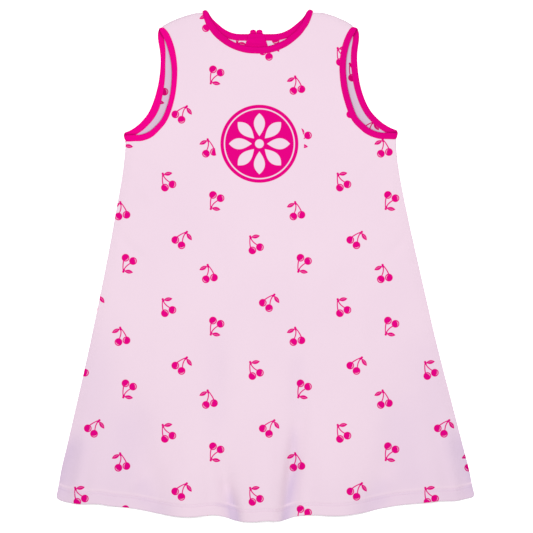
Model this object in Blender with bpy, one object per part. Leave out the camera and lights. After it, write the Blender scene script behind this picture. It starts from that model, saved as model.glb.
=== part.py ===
"""A girl's sleeveless a-line dress in cotton jersey, laid on its back on a flat surface.

The frame: +Y runs from the hem to the neck, +Z up from the surface that the dress lies on, and
the origin is on that surface, in the middle of the dress. Left is the wearer's left, at +X.
All sizes below are millimetres, and the meshes are made in metres.
"""

import math

import bmesh
import bpy
from mathutils import Vector

MM = 0.001

# Cloth, from the outside in.
WALL = 1.0  # one layer of jersey
SEAM_GAP = 0.3  # between pieces that are sewn or lie on each other
HEM_TURN = 16.0  # depth of the turned-up hem
HEM_FOLD_RUN = 3.0  # over which the hem's second layer ends
HEM_EXTRA = 0.8  # thickness that the turned-up layer adds

# The binding round the neck and armholes is a strip folded over the cloth's edge.
BAND_WIDTH = 7.6
BAND_THICK = 2.4
BAND_HOLDS_OPEN = BAND_THICK - WALL  # how far two bindings hold the front off the back

# The dress lies with its skirt swung a little to one side.
LEAN = 0.0150
LEAN_FROM_Y = -215.0

# Side seam, the same left and right: distance from the centre line at each height.
SIDE_SEAM = (
    # y, half_width
    (-273.0, 247.8),
    (-100.0, 205.8),
    (18.0, 180.0),
    (77.0, 168.8),
    (110.0, 163.4),
    (136.0, 160.6),
    (145.8, 160.3),
)
BACK_HEM_INSET = 1.5  # the back hem lies this far inside the front's

# The front hem from the wearer's right corner to the left one: it dips where the skirt waves.
HEM = (
    # x, y
    (-247.8, -273.0),
    (-240.0, -276.2),
    (-231.0, -278.3),
    (-219.5, -280.6),
    (-208.0, -280.9),
    (-196.0, -281.0),
    (-184.0, -283.2),
    (-172.0, -284.5),
    (-154.0, -286.5),
    (-126.0, -292.2),
    (-107.0, -295.4),
    (-86.0, -296.4),
    (-60.0, -294.3),
    (-48.0, -296.2),
    (-34.0, -301.0),
    (-17.0, -302.3),
    (4.0, -300.9),
    (14.0, -301.6),
    (23.0, -300.4),
    (37.0, -295.9),
    (54.0, -294.1),
    (80.0, -295.0),
    (96.0, -294.4),
    (110.0, -292.6),
    (122.0, -290.3),
    (134.0, -287.4),
    (157.0, -283.0),
    (195.0, -279.1),
    (207.0, -277.6),
    (224.0, -277.6),
    (238.0, -275.2),
    (247.8, -273.0),
)
HEM_WAVE_REACH = 220.0  # above the hem, where the wave of its edge has died away

# Middle of the armhole bindings, from the side seam up to the shoulder.
FRONT_ARMHOLE = (
    # half_width, y
    (160.6, 150.0),
    (150.0, 150.4),
    (140.4, 151.0),
    (130.1, 154.9),
    (122.2, 160.8),
    (111.9, 172.7),
    (105.3, 190.7),
    (101.2, 208.4),
    (99.5, 226.0),
    (99.8, 240.0),
    (101.5, 251.5),
    (104.8, 263.2),
    (109.0, 272.3),
    (113.2, 278.8),
)
BACK_ARMHOLE = (
    # half_width, y
    (161.0, 153.2),
    (153.1, 156.1),
    (145.0, 161.0),
    (137.5, 167.3),
    (128.5, 177.9),
    (121.9, 191.0),
    (116.5, 208.3),
    (113.7, 224.0),
    (112.4, 240.0),
    (112.9, 253.0),
    (114.9, 265.4),
    (115.4, 272.0),
    (114.7, 278.0),
)

# Middle of the neck binding, from the centre line out and up to the shoulder.
FRONT_NECK = (
    # half_width, y
    (0.0, 254.3),
    (11.8, 255.0),
    (23.6, 258.1),
    (35.4, 263.9),
    (47.2, 273.2),
    (53.2, 280.6),
    (57.5, 287.2),
    (60.4, 294.4),
    (62.0, 299.8),
)
BACK_NECK = (
    # half_width, y
    (0.0, 269.7),
    (12.0, 269.7),
    (23.6, 270.0),
    (32.4, 272.1),
    (41.3, 276.7),
    (49.0, 282.9),
    (55.6, 289.2),
    (59.8, 295.0),
    (62.0, 299.8),
)
SHOULDER_BOW = 3.9  # how far the shoulder line rises above a straight one
SHOULDER_RISE = 3.0  # and how far its outer end runs on past the armhole's, beside the binding
SHOULDER_RISE_POWER = 1.3

# The dress doesn't lie quite evenly: each row moves what is near its point, most at the point.
NUDGES = (
    # x, y, reach_x, reach_y, along_x, along_y
    (0.0, 285.0, 200.0, 170.0, -1.25, -0.6),
    (150.0, 165.0, 95.0, 105.0, 0.0, 2.7),
    (-165.0, 125.0, 80.0, 75.0, 1.1, 0.0),
    (-140.0, 160.0, 60.0, 60.0, 0.0, -0.7),
    (190.0, -55.0, 100.0, 230.0, 1.15, 0.0),
    (95.0, 290.0, 40.0, 60.0, 0.0, 1.2),
    (-66.0, 294.0, 38.0, 40.0, 0.7, -0.8),
    (64.0, 294.0, 30.0, 40.0, 0.8, 0.0),
    (108.0, 286.0, 32.0, 50.0, -0.2, -0.9),
    (-160.0, 150.0, 40.0, 32.0, 0.9, 0.0),
    (160.0, 150.0, 40.0, 32.0, 0.7, 0.0),
    (-150.0, 152.0, 30.0, 30.0, 0.0, 0.5),
    (-245.0, -275.0, 45.0, 42.0, 1.9, -2.0),
    (205.0, 20.0, 100.0, 110.0, 0.7, 0.0),
    (235.0, -190.0, 100.0, 115.0, 1.0, 0.0),
    (240.0, -240.0, 60.0, 32.0, 0.8, 0.0),
    (-99.0, 290.0, 16.0, 34.0, 0.0, -0.6),
    (-79.0, 296.0, 12.0, 34.0, 0.0, 0.7),
    (68.0, 297.0, 14.0, 34.0, 0.0, 0.9),
    (99.0, 290.0, 12.0, 34.0, 0.0, 0.8),
)
# So laid, the outline's middle is here, and the whole dress is moved to have it at 0, 0.
MIDDLE_X = 1.0
MIDDLE_Y = 0.3

# The slit at the back neck, closed at its top by the bow.
SLIT_LENGTH = 62.0
SLIT_HALF_WIDTH = 2.6
SLIT_TOP_HALF_WIDTH = 0.7
CLOSURE_X = -1.3  # the back of the neck lies this far off the front's centre line
CLOSURE_REACH = 62.0  # to each side, where that shift has died away
CLOSURE_LOW_Y = 130.0
CLOSURE_HIGH_Y = 215.0
SHOULDER_SHIFT_X = 0.7  # and its shoulders lie this far the other way
SHOULDER_SHIFT_LOW_Y = 190.0
SHOULDER_SHIFT_HIGH_Y = 245.0

# The patch behind the slit: its top edge is at the neckline, and its foot is rounded.
PATCH_TOP_Y = 274.2
PATCH_EDGE = (
    # below_top, half_width
    (0.0, 8.6),
    (14.6, 13.6),
    (34.0, 18.6),
    (54.0, 20.5),
    (68.0, 17.5),
    (75.0, 10.0),
    (76.0, 8.0),
)
PATCH_LENGTH = PATCH_EDGE[-1][0]

# The bow, tied flat in the ends of the neck binding on the outside of the back.
BOW_THICK = 2.4
BOW_CENTRE_Y = 262.0
BOW_LIFT = BOW_THICK + SEAM_GAP + 0.1  # how far it holds the back off the surface
BOW_LIFT_HALF_WIDTH = 10.0
BOW_LIFT_RUN = 44.0
BOW_LIFT_LOW_Y = 257.0
BOW_LIFT_DROP = 66.0

# How the front layer swells off the back: over the body, and in the folds of the skirt.
BODY_SWELL = 1.7
BODY_SWELL_TOP_Y = 288.0
BODY_SWELL_RUN = 90.0
HEM_SWELL = 2.6
HEM_SWELL_TOP_Y = -40.0
HEM_Y = -290.0
FOLD_EDGE_RUN = 34.0  # folds die away this near a side seam
FOLDS = (
    # x_at_hem, x_at_top, top_y, half_width_at_hem, half_width_at_top, height
    (-3.0, -3.0, -120.0, 26.0, 20.0, 6.4),
    (28.7, 50.0, -110.0, 9.5, 10.0, -6.6),
    (-38.0, -53.5, -210.0, 9.0, 9.0, -5.6),
    (-45.0, -59.0, -85.0, 13.0, 12.0, -1.6),
    (86.0, 62.0, -110.0, 30.0, 22.0, 6.0),
    (-92.0, -70.0, -130.0, 30.0, 22.0, 6.2),
    (131.0, 170.0, -100.0, 17.0, 14.0, -3.4),
    (-126.0, -170.0, -100.0, 18.0, 14.0, -3.4),
    (204.0, 176.0, -150.0, 24.0, 14.0, 5.6),
    (-204.0, -178.0, -155.0, 24.0, 14.0, 5.6),
)
SIDE_ROLL = 11.0  # width over which the front rolls down to the back at a side seam
UNDERARM_ROLL_RUN = 30.0  # below the underarm, where that roll begins
SHOULDER_ROLL = 7.0

# How finely the pieces are divided.
FRONT_COLUMNS = (
    # Share of the way from the centre line to an edge.
    0.0, 0.045, 0.09, 0.13, 0.165, 0.2, 0.245, 0.3, 0.36, 0.42, 0.48, 0.54, 0.6, 0.66,
    0.72, 0.78, 0.84, 0.89, 0.93, 0.965, 1.0,
)
BACK_COLUMNS = (0.0, 0.06, 0.13, 0.22, 0.34, 0.5, 0.66, 0.83, 1.0)
SKIRT_ROWS = 18
YOKE_ROWS = 9  # from the underarm to the bottom of the neck
STRAP_ROWS = 9  # from there to the shoulder
SPLIT_OF_ARMHOLE = 0.56  # share of the armhole that lies beside the yoke
TURN_STEPS = 4  # of a binding where it folds over at a shoulder

BLUSH = (0.90, 0.70, 0.83, 1.0)
HOT_PINK = (0.78, 0.002, 0.24, 1.0)


def smooth(share):
    """An even step from 0 to 1 as share goes from 0 to 1."""
    share = min(max(share, 0.0), 1.0)
    return share * share * (3 - 2 * share)


def mix(a, b, share):
    return a + (b - a) * share


def slopes(table):
    """The slope of a smooth line through a table's points, at each point."""
    steps = [(b[1] - a[1]) / (b[0] - a[0]) for a, b in zip(table, table[1:])]
    inner = [(p + q) / 2 for p, q in zip(steps, steps[1:])]
    return [steps[0], *inner, steps[-1]]


def read(table, at):
    """The second column of a table where its first is at, on a smooth line through its rows."""
    at = min(max(at, table[0][0]), table[-1][0])
    lean = slopes(table)
    k = next(i for i in range(len(table) - 1) if at <= table[i + 1][0])
    (x0, y0), (x1, y1) = table[k], table[k + 1]
    step = x1 - x0
    t = (at - x0) / step
    left = y0 * (1 + 2 * t) + lean[k] * step * t
    right = y1 * (3 - 2 * t) - lean[k + 1] * step * (1 - t)
    return left * (1 - t) ** 2 + right * t * t


def curve_through(points, samples=12):
    """A smooth plan curve through points, finely sampled."""
    ends = [2 * points[0] - points[1], *points, 2 * points[-1] - points[-2]]
    line = []
    for a, b, c, d in zip(ends, ends[1:], ends[2:], ends[3:]):
        for k in range(samples):
            t = k / samples
            line.append(
                ((2 * b) + (c - a) * t + (2 * a - 5 * b + 4 * c - d) * t * t
                 + (3 * b - a - 3 * c + d) * t ** 3) / 2
            )
    return [*line, points[-1]]


def along(line, count):
    """count + 1 points evenly spaced along a line of points."""
    lengths = [0.0]
    for a, b in zip(line, line[1:]):
        lengths.append(lengths[-1] + (b - a).length)
    return at_distances(line, [lengths[-1] * k / count for k in range(count + 1)])


def at_distances(line, distances):
    """The points of a line at these distances from its start."""
    found = []
    walked, k = 0.0, 0
    for distance in distances:
        while k < len(line) - 2 and walked + (line[k + 1] - line[k]).length < distance:
            walked += (line[k + 1] - line[k]).length
            k += 1
        step = (line[k + 1] - line[k]).length
        found.append(line[k].lerp(line[k + 1], min(max((distance - walked) / step, 0.0), 1.0)))
    return found


def length_of(line):
    return sum((b - a).length for a, b in zip(line, line[1:]))


def offset(line, distance):
    """A plan line moved sideways, to its left where distance is above 0."""
    moved = []
    for k, point in enumerate(line):
        run = line[min(k + 1, len(line) - 1)] - line[max(k - 1, 0)]
        moved.append(point + Vector((-run.y, run.x)).normalized() * distance)
    return moved


def centre_x(y):
    """Where the dress's own centre line lies."""
    return -LEAN * max(y - LEAN_FROM_Y, 0.0)


def closure_shift(x, y):
    """How far the back is nudged sideways under the front at a point of the plan."""
    off = abs(x - centre_x(y))
    neck = smooth(1 - off / CLOSURE_REACH) * smooth((y - CLOSURE_LOW_Y) / (CLOSURE_HIGH_Y - CLOSURE_LOW_Y))
    up = smooth((y - SHOULDER_SHIFT_LOW_Y) / (SHOULDER_SHIFT_HIGH_Y - SHOULDER_SHIFT_LOW_Y))
    return CLOSURE_X * neck + SHOULDER_SHIFT_X * smooth((off - CLOSURE_REACH) / 40.0) * up


def no_shift(x, y):
    return 0.0


def nudged(x, y):
    """Where a point of the even plan really lies."""
    to_x = to_y = 0.0
    for at_x, at_y, reach_x, reach_y, along_x, along_y in NUDGES:
        share = smooth(1 - abs(x - at_x) / reach_x) * smooth(1 - abs(y - at_y) / reach_y)
        to_x += along_x * share
        to_y += along_y * share
    return x + to_x - MIDDLE_X, y + to_y - MIDDLE_Y


def plan_curve(table):
    return curve_through([Vector(row) for row in table])


# ---------------------------------------------------------------- heights of the layers


def back_under(x, y):
    """The underside of the back: on the surface, but for where it passes over the bow."""
    off = abs(x - centre_x(y) - CLOSURE_X) - BOW_LIFT_HALF_WIDTH
    across = smooth(1 - off / BOW_LIFT_RUN)
    down = smooth(1 - (BOW_LIFT_LOW_Y - y) / BOW_LIFT_DROP)
    return BOW_LIFT * across * down


def side_half_width(y):
    return read(SIDE_SEAM, y)


def swell(x, y):
    """How far the front layer stands off the layers below it, apart from the bindings."""
    from_side = side_half_width(y) - abs(x - centre_x(y))
    crown = 1 - (1 - min(max(from_side / side_half_width(y), 0.0), 1.0)) ** 4
    body = BODY_SWELL * crown * smooth((BODY_SWELL_TOP_Y - y) / BODY_SWELL_RUN)
    low = smooth((HEM_SWELL_TOP_Y - y) / (HEM_SWELL_TOP_Y - HEM_Y))
    total = body + HEM_SWELL * low * crown
    for x_hem, x_top, top_y, wide_hem, wide_top, height in FOLDS:
        share = (top_y - y) / (top_y - HEM_Y)
        middle = mix(x_top, x_hem, share)
        wide = mix(wide_top, wide_hem, min(max(share, 0.0), 1.0))
        rise = height * smooth(share) * smooth(from_side / FOLD_EDGE_RUN)
        total += rise * math.exp(-(((x - middle) / wide) ** 2))
    return max(total, 0.0)


def front_under(x, y):
    """The underside of the front where it isn't rolled down at a seam."""
    return back_under(x, y) + WALL + SEAM_GAP + BAND_HOLDS_OPEN + swell(x, y)


# ---------------------------------------------------------------- the two panels


def skirt_distances(length):
    """Where the skirt's rows lie above the hem: at the ends of its turned-up layer, then evenly."""
    first = HEM_TURN + HEM_FOLD_RUN
    rest = SKIRT_ROWS - 2
    return [0.0, HEM_TURN, *[mix(first, length, k / rest) for k in range(rest + 1)]]


def rails(armhole, neck, slit):
    """The outer and inner edge of half a panel, as one point for each row, from hem to shoulder.

    Points are (distance from the centre line, y). The rows of the skirt end at the underarm, and
    those of the yoke at the bottom of the neck.
    """
    clear = BAND_WIDTH / 2 + SEAM_GAP
    arm_edge = offset(plan_curve(armhole), clear)
    neck_edge = offset(plan_curve(neck), -clear)
    low, top = SIDE_SEAM[0][0], arm_edge[0].y
    seam = [Vector((side_half_width(mix(low, top, k / 40)), mix(low, top, k / 40))) for k in range(41)]
    seam[-1] = arm_edge[0]
    arm_split = length_of(arm_edge) * SPLIT_OF_ARMHOLE
    yoke_steps = [arm_split * k / YOKE_ROWS for k in range(1, YOKE_ROWS + 1)]
    strap_run = length_of(arm_edge) - arm_split
    strap_steps = [arm_split + strap_run * k / STRAP_ROWS for k in range(1, STRAP_ROWS + 1)]
    outer = at_distances(seam, skirt_distances(length_of(seam)))
    outer += at_distances(arm_edge, yoke_steps + strap_steps)

    hem_y, underarm_y, neck_y = read(HEM, 0.0), top, neck_edge[0].y
    centre = [hem_y + d for d in skirt_distances(underarm_y - hem_y)]
    centre += [mix(underarm_y, neck_y, k / YOKE_ROWS) for k in range(1, YOKE_ROWS + 1)]
    inner = [Vector((slit(y), y)) for y in centre]
    inner += along([inner[-1], *neck_edge[1:]], STRAP_ROWS)[1:]
    return outer, inner


def no_slit(y):
    return 0.0


def slit_half_width(y):
    """Half the width of the back slit at a height: a long drop, narrow at the neckline."""
    top = BACK_NECK[0][1]
    share = (y - (top - SLIT_LENGTH)) / SLIT_LENGTH
    if share <= 0.02:
        return 0.0
    swollen = SLIT_HALF_WIDTH * math.sin(math.pi * min(share, 1.0) ** 0.7)
    return max(swollen, SLIT_TOP_HALF_WIDTH)


def panel_sheet(outer, inner, columns, hem_inset):
    """The plan of a whole panel: its points, its quads, and what each point is near.

    Each point is (x, y, shoulder share, side share, hem share): 1 on that edge and 0 away from it.
    """
    hem_centre = read(HEM, 0.0)
    rows, points, index, quads = len(outer), [], {}, []
    for side in (-1, 1):
        for r in range(rows):
            for c, share in enumerate(columns):
                if c == 0 and side > 0 and inner[r].x == 0.0:
                    index[side, r, c] = index[-side, r, c]
                    continue
                index[side, r, c] = len(points)
                points.append(panel_point(outer, inner, side, r, share, hem_centre, hem_inset))
        for r in range(rows - 1):
            for c in range(len(columns) - 1):
                corners = [(r, c), (r, c + 1), (r + 1, c + 1), (r + 1, c)]
                quads.append([index[side, *corner] for corner in corners[::side]])
    return points, quads


def panel_point(outer, inner, side, r, share, hem_centre, hem_inset):
    flat = inner[r].lerp(outer[r], share)
    above_hem = mix(inner[r].y - inner[0].y, outer[r].y - outer[0].y, share)
    hem_line = mix(hem_centre, outer[0].y, share)
    hem_x = mix(inner[0].x, outer[0].x, share) * side
    wave = (read(HEM, hem_x) - hem_line) * smooth(1 - above_hem / HEM_WAVE_REACH)
    inset = hem_inset * smooth(1 - above_hem / HEM_TURN)
    from_top = (inner[-1].lerp(outer[-1], share) - flat).length
    near_top = smooth(1 - from_top / (4 * SHOULDER_ROLL))
    bow = SHOULDER_BOW * math.sin(math.pi * share) * near_top
    rise = SHOULDER_RISE * share ** SHOULDER_RISE_POWER * near_top
    run_on = (outer[-1] - outer[-2]).normalized() * rise
    y = flat.y + wave + inset + bow + run_on.y
    from_side = (outer[r] - flat).length
    below_arm = smooth((SIDE_SEAM[-1][0] - outer[r].y) / UNDERARM_ROLL_RUN)
    rolled = smooth(1 - from_side / SIDE_ROLL) * below_arm
    shoulder = smooth(1 - from_top / SHOULDER_ROLL)
    hem = smooth(1 - (above_hem - HEM_TURN) / HEM_FOLD_RUN)
    return side * (flat.x + run_on.x) + centre_x(y), y, shoulder, rolled, hem


def wall(name, lower, upper, quads, paint):
    """A closed solid between two sheets of points that share their quads."""
    mesh = bmesh.new()
    low = [mesh.verts.new(Vector(p) * MM) for p in lower]
    high = [mesh.verts.new(Vector(p) * MM) for p in upper]
    edges = {}
    for quad in quads:
        mesh.faces.new([high[i] for i in quad])
        mesh.faces.new([low[i] for i in reversed(quad)])
        for a, b in zip(quad, quad[1:] + quad[:1]):
            edges[a, b] = edges.get((a, b), 0) + 1
    for a, b in edges:
        if (b, a) not in edges:
            mesh.faces.new([low[a], low[b], high[b], high[a]])
    return finish(name, mesh, paint)


def finish(name, mesh, paint):
    for corner in mesh.verts:
        x, y = nudged(corner.co.x / MM, corner.co.y / MM)
        corner.co.x, corner.co.y = x * MM, y * MM
    data = bpy.data.meshes.new(name)
    mesh.to_mesh(data)
    mesh.free()
    data.shade_smooth()
    data.set_sharp_from_angle(angle=math.radians(40))
    data.materials.append(paint)
    node = bpy.data.objects.new(name, data)
    bpy.context.scene.collection.objects.link(node)
    return node


def front_panel(paint):
    outer, inner = rails(FRONT_ARMHOLE, FRONT_NECK, no_slit)
    points, quads = panel_sheet(outer, inner, FRONT_COLUMNS, 0.0)
    lower, upper = [], []
    for x, y, shoulder, rolled, hem in points:
        height = front_under(x, y) - BAND_HOLDS_OPEN * max(shoulder, rolled)
        under = max(height - HEM_EXTRA * hem, back_under(x, y) + WALL + HEM_EXTRA * hem + SEAM_GAP)
        lower.append((x, y, under))
        upper.append((x, y, max(height, under + HEM_EXTRA * hem) + WALL))
    return wall("front_panel", lower, upper, quads, paint)


def back_panel(paint):
    outer, inner = rails(BACK_ARMHOLE, BACK_NECK, slit_half_width)
    points, quads = panel_sheet(outer, inner, BACK_COLUMNS, BACK_HEM_INSET)
    points = [(x + closure_shift(x, y), y, *near) for x, y, *near in points]
    lower = [(x, y, back_under(x, y)) for x, y, *_ in points]
    upper = [(x, y, back_under(x, y) + WALL + HEM_EXTRA * hem) for x, y, _, _, hem in points]
    return wall("back_panel", lower, upper, quads, paint)


# ---------------------------------------------------------------- bindings and bow

# Outline of a folded strip's section, as shares of half its width and half its thickness.
STRIP_SECTION = (
    (1.0, 0.0),
    (0.74, 1.0),
    (-0.74, 1.0),
    (-1.0, 0.0),
    (-0.74, -1.0),
    (0.74, -1.0),
)


def sweep(name, stations, paint):
    """A closed strip through stations of (centre, across, width, thickness)."""
    mesh = bmesh.new()
    rings = []
    for k, (centre, across, width, thick) in enumerate(stations):
        before = stations[max(k - 1, 0)][0]
        after = stations[min(k + 1, len(stations) - 1)][0]
        across = across.normalized()
        up = across.cross(after - before).normalized()
        rings.append(
            [
                mesh.verts.new((centre + across * (a * width / 2) + up * (b * thick / 2)) * MM)
                for a, b in STRIP_SECTION
            ]
        )
    for ring, following in zip(rings, rings[1:]):
        for k in range(len(ring)):
            n = (k + 1) % len(ring)
            mesh.faces.new([ring[k], ring[n], following[n], following[k]])
    mesh.faces.new(list(reversed(rings[0])))
    mesh.faces.new(rings[-1])
    bmesh.ops.recalc_face_normals(mesh, faces=mesh.faces)
    return finish(name, mesh, paint)


def band_run(edge, side, height, shift, cloth_on_left):
    """A binding beside a panel's edge, as (centre, direction to the cloth) for each of its points."""
    clear = BAND_WIDTH / 2 + SEAM_GAP
    run = []
    for k, point in enumerate(edge):
        heading = edge[min(k + 1, len(edge) - 1)] - edge[max(k - 1, 0)]
        if point.x == 0.0:
            heading = Vector((1.0, 0.0))
        out = Vector((heading.y, -heading.x)).normalized() * cloth_on_left
        at = point + out * clear
        unshifted = side * at.x + centre_x(at.y)
        x = unshifted + shift(unshifted, at.y)
        centre = Vector((x, at.y, height(x, at.y) + BAND_THICK / 2))
        run.append((centre, Vector((side * -out.x, -out.y, 0.0))))
    return run


def fold_over(last, first):
    """The half turn that takes a binding from one layer to the other past a shoulder."""
    (start, across), (end, end_across) = last, first
    middle = (start + end) / 2
    out = Vector((-across.y, across.x, 0.0))
    out = out if out.y > 0 else -out
    lift = (start - end) / 2
    radius = lift.length
    turn = []
    for k in range(1, TURN_STEPS):
        angle = math.pi * k / TURN_STEPS
        centre = middle + lift * math.cos(angle) + out * (radius * math.sin(angle))
        turn.append((centre, across.lerp(end_across, k / TURN_STEPS)))
    return turn


def band_stations(run):
    return [(centre, across, BAND_WIDTH, BAND_THICK) for centre, across in run]


def armhole_binding(name, side, paint):
    """One strip from the side seam up the front, over the shoulder and down the back."""
    front_edge = rails(FRONT_ARMHOLE, FRONT_NECK, no_slit)[0][SKIRT_ROWS:]
    back_edge = rails(BACK_ARMHOLE, BACK_NECK, slit_half_width)[0][SKIRT_ROWS:]
    front = band_run(front_edge, side, front_under, no_shift, 1)
    back = band_run(back_edge, side, back_under, closure_shift, 1)[::-1]
    run = front + fold_over(front[-1], back[0]) + back
    return sweep(name, band_stations(run), paint)


def neck_binding(paint):
    """One strip from one side of the back slit, round the front, to the slit's other side."""
    first = SKIRT_ROWS + YOKE_ROWS
    front_edge = rails(FRONT_ARMHOLE, FRONT_NECK, no_slit)[1][first:]
    back_edge = rails(BACK_ARMHOLE, BACK_NECK, slit_half_width)[1][first:]
    halves = []
    for side in (-1, 1):
        back = band_run(back_edge, side, back_under, closure_shift, -1)
        front = band_run(front_edge, side, front_under, no_shift, -1)[::-1]
        halves.append(back + fold_over(back[-1], front[0]) + front)
    right, left = halves
    return sweep("neck_binding", band_stations(right + left[::-1][1:]), paint)


def neck_patch(paint):
    """A facing on the inside of the back, behind the slit, from the neckline down."""
    columns, rows = 8, 16
    ledge = BACK_NECK[0][1] - BAND_WIDTH / 2 - SEAM_GAP
    lower = []
    for r in range(rows + 1):
        down = PATCH_LENGTH * r / rows
        wide = read(PATCH_EDGE, down)
        for c in range(columns + 1):
            y = PATCH_TOP_Y - down
            x = centre_x(y) + CLOSURE_X + wide * (2 * c / columns - 1)
            over_band = smooth(1 - (ledge - y) / 5.0)
            rest = mix(WALL, BAND_THICK, over_band) + SEAM_GAP
            lower.append((x, y, back_under(x, y) + rest))
    upper = [(x, y, z + WALL) for x, y, z in lower]
    quads = []
    for r in range(rows):
        for c in range(columns):
            a = r * (columns + 1) + c
            quads.append([a, a + columns + 1, a + columns + 2, a + 1])
    return wall("neck_patch", lower, upper, quads, paint)


def flat_strip(name, start, end, profile, thick, paint):
    """A strip lying on the surface from start to end, as wide as profile says along it."""
    heading = (end - start).normalized()
    across = Vector((-heading.y, heading.x, 0.0))
    level = Vector((0.0, 0.0, thick / 2))
    stations = [(start.lerp(end, share) + level, across, width, thick) for share, width in profile]
    return sweep(name, stations, paint)


# Width along each piece of the bow: (share of its length, width).
LOOP_PROFILE = ((0.0, 5.6), (0.3, 6.6), (0.62, 7.2), (0.82, 6.8), (0.93, 5.2), (1.0, 2.6))
TAIL_PROFILE = ((0.0, 5.0), (0.3, 6.4), (0.95, 7.2), (1.0, 7.0))
KNOT_PROFILE = ((0.0, 5.2), (0.16, 7.0), (0.5, 7.6), (0.84, 7.0), (1.0, 5.2))
LOOP_LENGTH = 13.0
LOOP_SPREAD = 8.2  # between the middles of the two loops' ends
TAIL_LENGTH = 27.0
TAIL_ANGLE = math.radians(24)
KNOT_WIDTH = 11.0


def bow(paint):
    """Two loops that reach up past the neckline, the knot, and two tails, flat on the surface."""
    middle = Vector((centre_x(BOW_CENTRE_Y) + CLOSURE_X, BOW_CENTRE_Y, 0.0))
    half_knot = KNOT_PROFILE[2][1] / 2 + SEAM_GAP
    for side, word in ((-1, "right"), (1, "left")):
        root = middle + Vector((side * 4.1, half_knot, 0.0))
        tip = middle + Vector((side * LOOP_SPREAD / 2, half_knot + LOOP_LENGTH, 0.0))
        flat_strip(f"bow_loop_{word}", root, tip, LOOP_PROFILE, BOW_THICK, paint)
        root = middle + Vector((side * 3.9, -half_knot, 0.0))
        drop = Vector((side * math.sin(TAIL_ANGLE), -math.cos(TAIL_ANGLE), 0.0)) * TAIL_LENGTH
        flat_strip(f"bow_tail_{word}", root, root + drop, TAIL_PROFILE, WALL, paint)
    half = Vector((KNOT_WIDTH / 2, 0.0, 0.0))
    flat_strip("bow_knot", middle - half, middle + half, KNOT_PROFILE, BOW_THICK, paint)


def paint(name, colour, roughness):
    made = bpy.data.materials.new(name)
    made.use_nodes = True
    shader = made.node_tree.nodes["Principled BSDF"]
    shader.inputs["Base Color"].default_value = colour
    shader.inputs["Roughness"].default_value = roughness
    shader.inputs["Metallic"].default_value = 0.0
    return made


def main():
    for obj in list(bpy.data.objects):
        bpy.data.objects.remove(obj)
    jersey = paint("blush_jersey", BLUSH, 0.9)
    rib = paint("hot_pink_rib", HOT_PINK, 0.85)
    front_panel(jersey)
    back_panel(jersey)
    neck_binding(rib)
    armhole_binding("armhole_binding_right", -1, rib)
    armhole_binding("armhole_binding_left", 1, rib)
    neck_patch(rib)
    bow(rib)


main()
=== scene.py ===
import math

import bmesh
import bpy
import numpy as np
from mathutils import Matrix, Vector


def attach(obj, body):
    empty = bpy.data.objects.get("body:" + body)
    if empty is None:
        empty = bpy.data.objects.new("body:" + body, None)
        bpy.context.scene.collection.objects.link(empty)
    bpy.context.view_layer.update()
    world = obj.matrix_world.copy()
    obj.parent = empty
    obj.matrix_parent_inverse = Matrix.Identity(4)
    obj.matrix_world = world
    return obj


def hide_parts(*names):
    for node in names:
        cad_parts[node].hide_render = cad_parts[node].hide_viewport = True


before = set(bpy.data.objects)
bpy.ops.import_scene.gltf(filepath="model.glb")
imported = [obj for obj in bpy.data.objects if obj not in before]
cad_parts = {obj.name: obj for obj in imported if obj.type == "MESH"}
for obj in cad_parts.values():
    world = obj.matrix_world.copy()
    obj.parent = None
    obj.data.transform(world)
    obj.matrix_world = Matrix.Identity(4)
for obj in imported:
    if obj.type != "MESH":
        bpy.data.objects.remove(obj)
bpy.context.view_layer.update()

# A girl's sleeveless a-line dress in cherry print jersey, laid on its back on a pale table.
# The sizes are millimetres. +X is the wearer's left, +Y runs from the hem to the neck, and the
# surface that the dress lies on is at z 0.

MM = 0.001
FAR = 1000.0  # further than anything on the dress
CHUNK = 4000  # points measured at a time

# Cloth.
WALL = 1.0
SEAM_GAP = 0.3
HEM_TURN = 16.0
HEM_FOLD_RUN = 1.6
HEM_EXTRA = 0.8
RIM_RADIUS = 0.9  # of the cloth's rounded edge
RIM_LEAST = 0.14  # share of its thickness at the edge itself
SEWN_RIM = 0.2  # a sewn edge is rounded only so far out, and stays thicker
CORNER_RADIUS = 3.6  # of the hem's corners
BAND_WIDTH = 7.6
BAND_THICK = 2.4
BAND_HOLDS_OPEN = BAND_THICK - WALL
BAND_LIP = 1.5  # how far the cloth goes into a binding's fold
BAND_CENTRES_CLOTH = (BAND_THICK - WALL) / 2
BAND_RUN = 9.0  # over which the cloth comes to the middle of a binding
BAND_SQUEEZE = 0.10  # of each face of the cloth in the fold
BAND_SQUEEZE_RUN = 2.0
FOLD_PLAY = 0.15  # between the cloth's edge and the bottom of the fold

# The cut. Each table has one point of an edge a row.
LEAN = 0.0150
LEAN_FROM_Y = -215.0
SIDE_SEAM = (
    # y, half_width
    (-273.0, 247.8), (-100.0, 205.8), (18.0, 180.0), (77.0, 168.8),
    (110.0, 163.4), (136.0, 160.6), (145.8, 160.3),
)
BACK_HEM_INSET = 1.5
HEM = (
    # x, y
    (-247.8, -273.0), (-240.0, -276.2), (-231.0, -278.3), (-219.5, -280.6), (-208.0, -280.9),
    (-196.0, -281.0), (-184.0, -283.2), (-172.0, -284.5), (-154.0, -286.5), (-126.0, -292.2),
    (-107.0, -295.4), (-86.0, -296.4), (-60.0, -294.3), (-48.0, -296.2), (-34.0, -301.0),
    (-17.0, -302.3), (4.0, -300.9), (14.0, -301.6), (23.0, -300.4), (37.0, -295.9),
    (54.0, -294.1), (80.0, -295.0), (96.0, -294.4), (110.0, -292.6), (122.0, -290.3),
    (134.0, -287.4), (157.0, -283.0), (195.0, -279.1), (207.0, -277.6), (224.0, -277.6),
    (238.0, -275.2), (247.8, -273.0),
)
HEM_WAVE_REACH = 220.0
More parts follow.
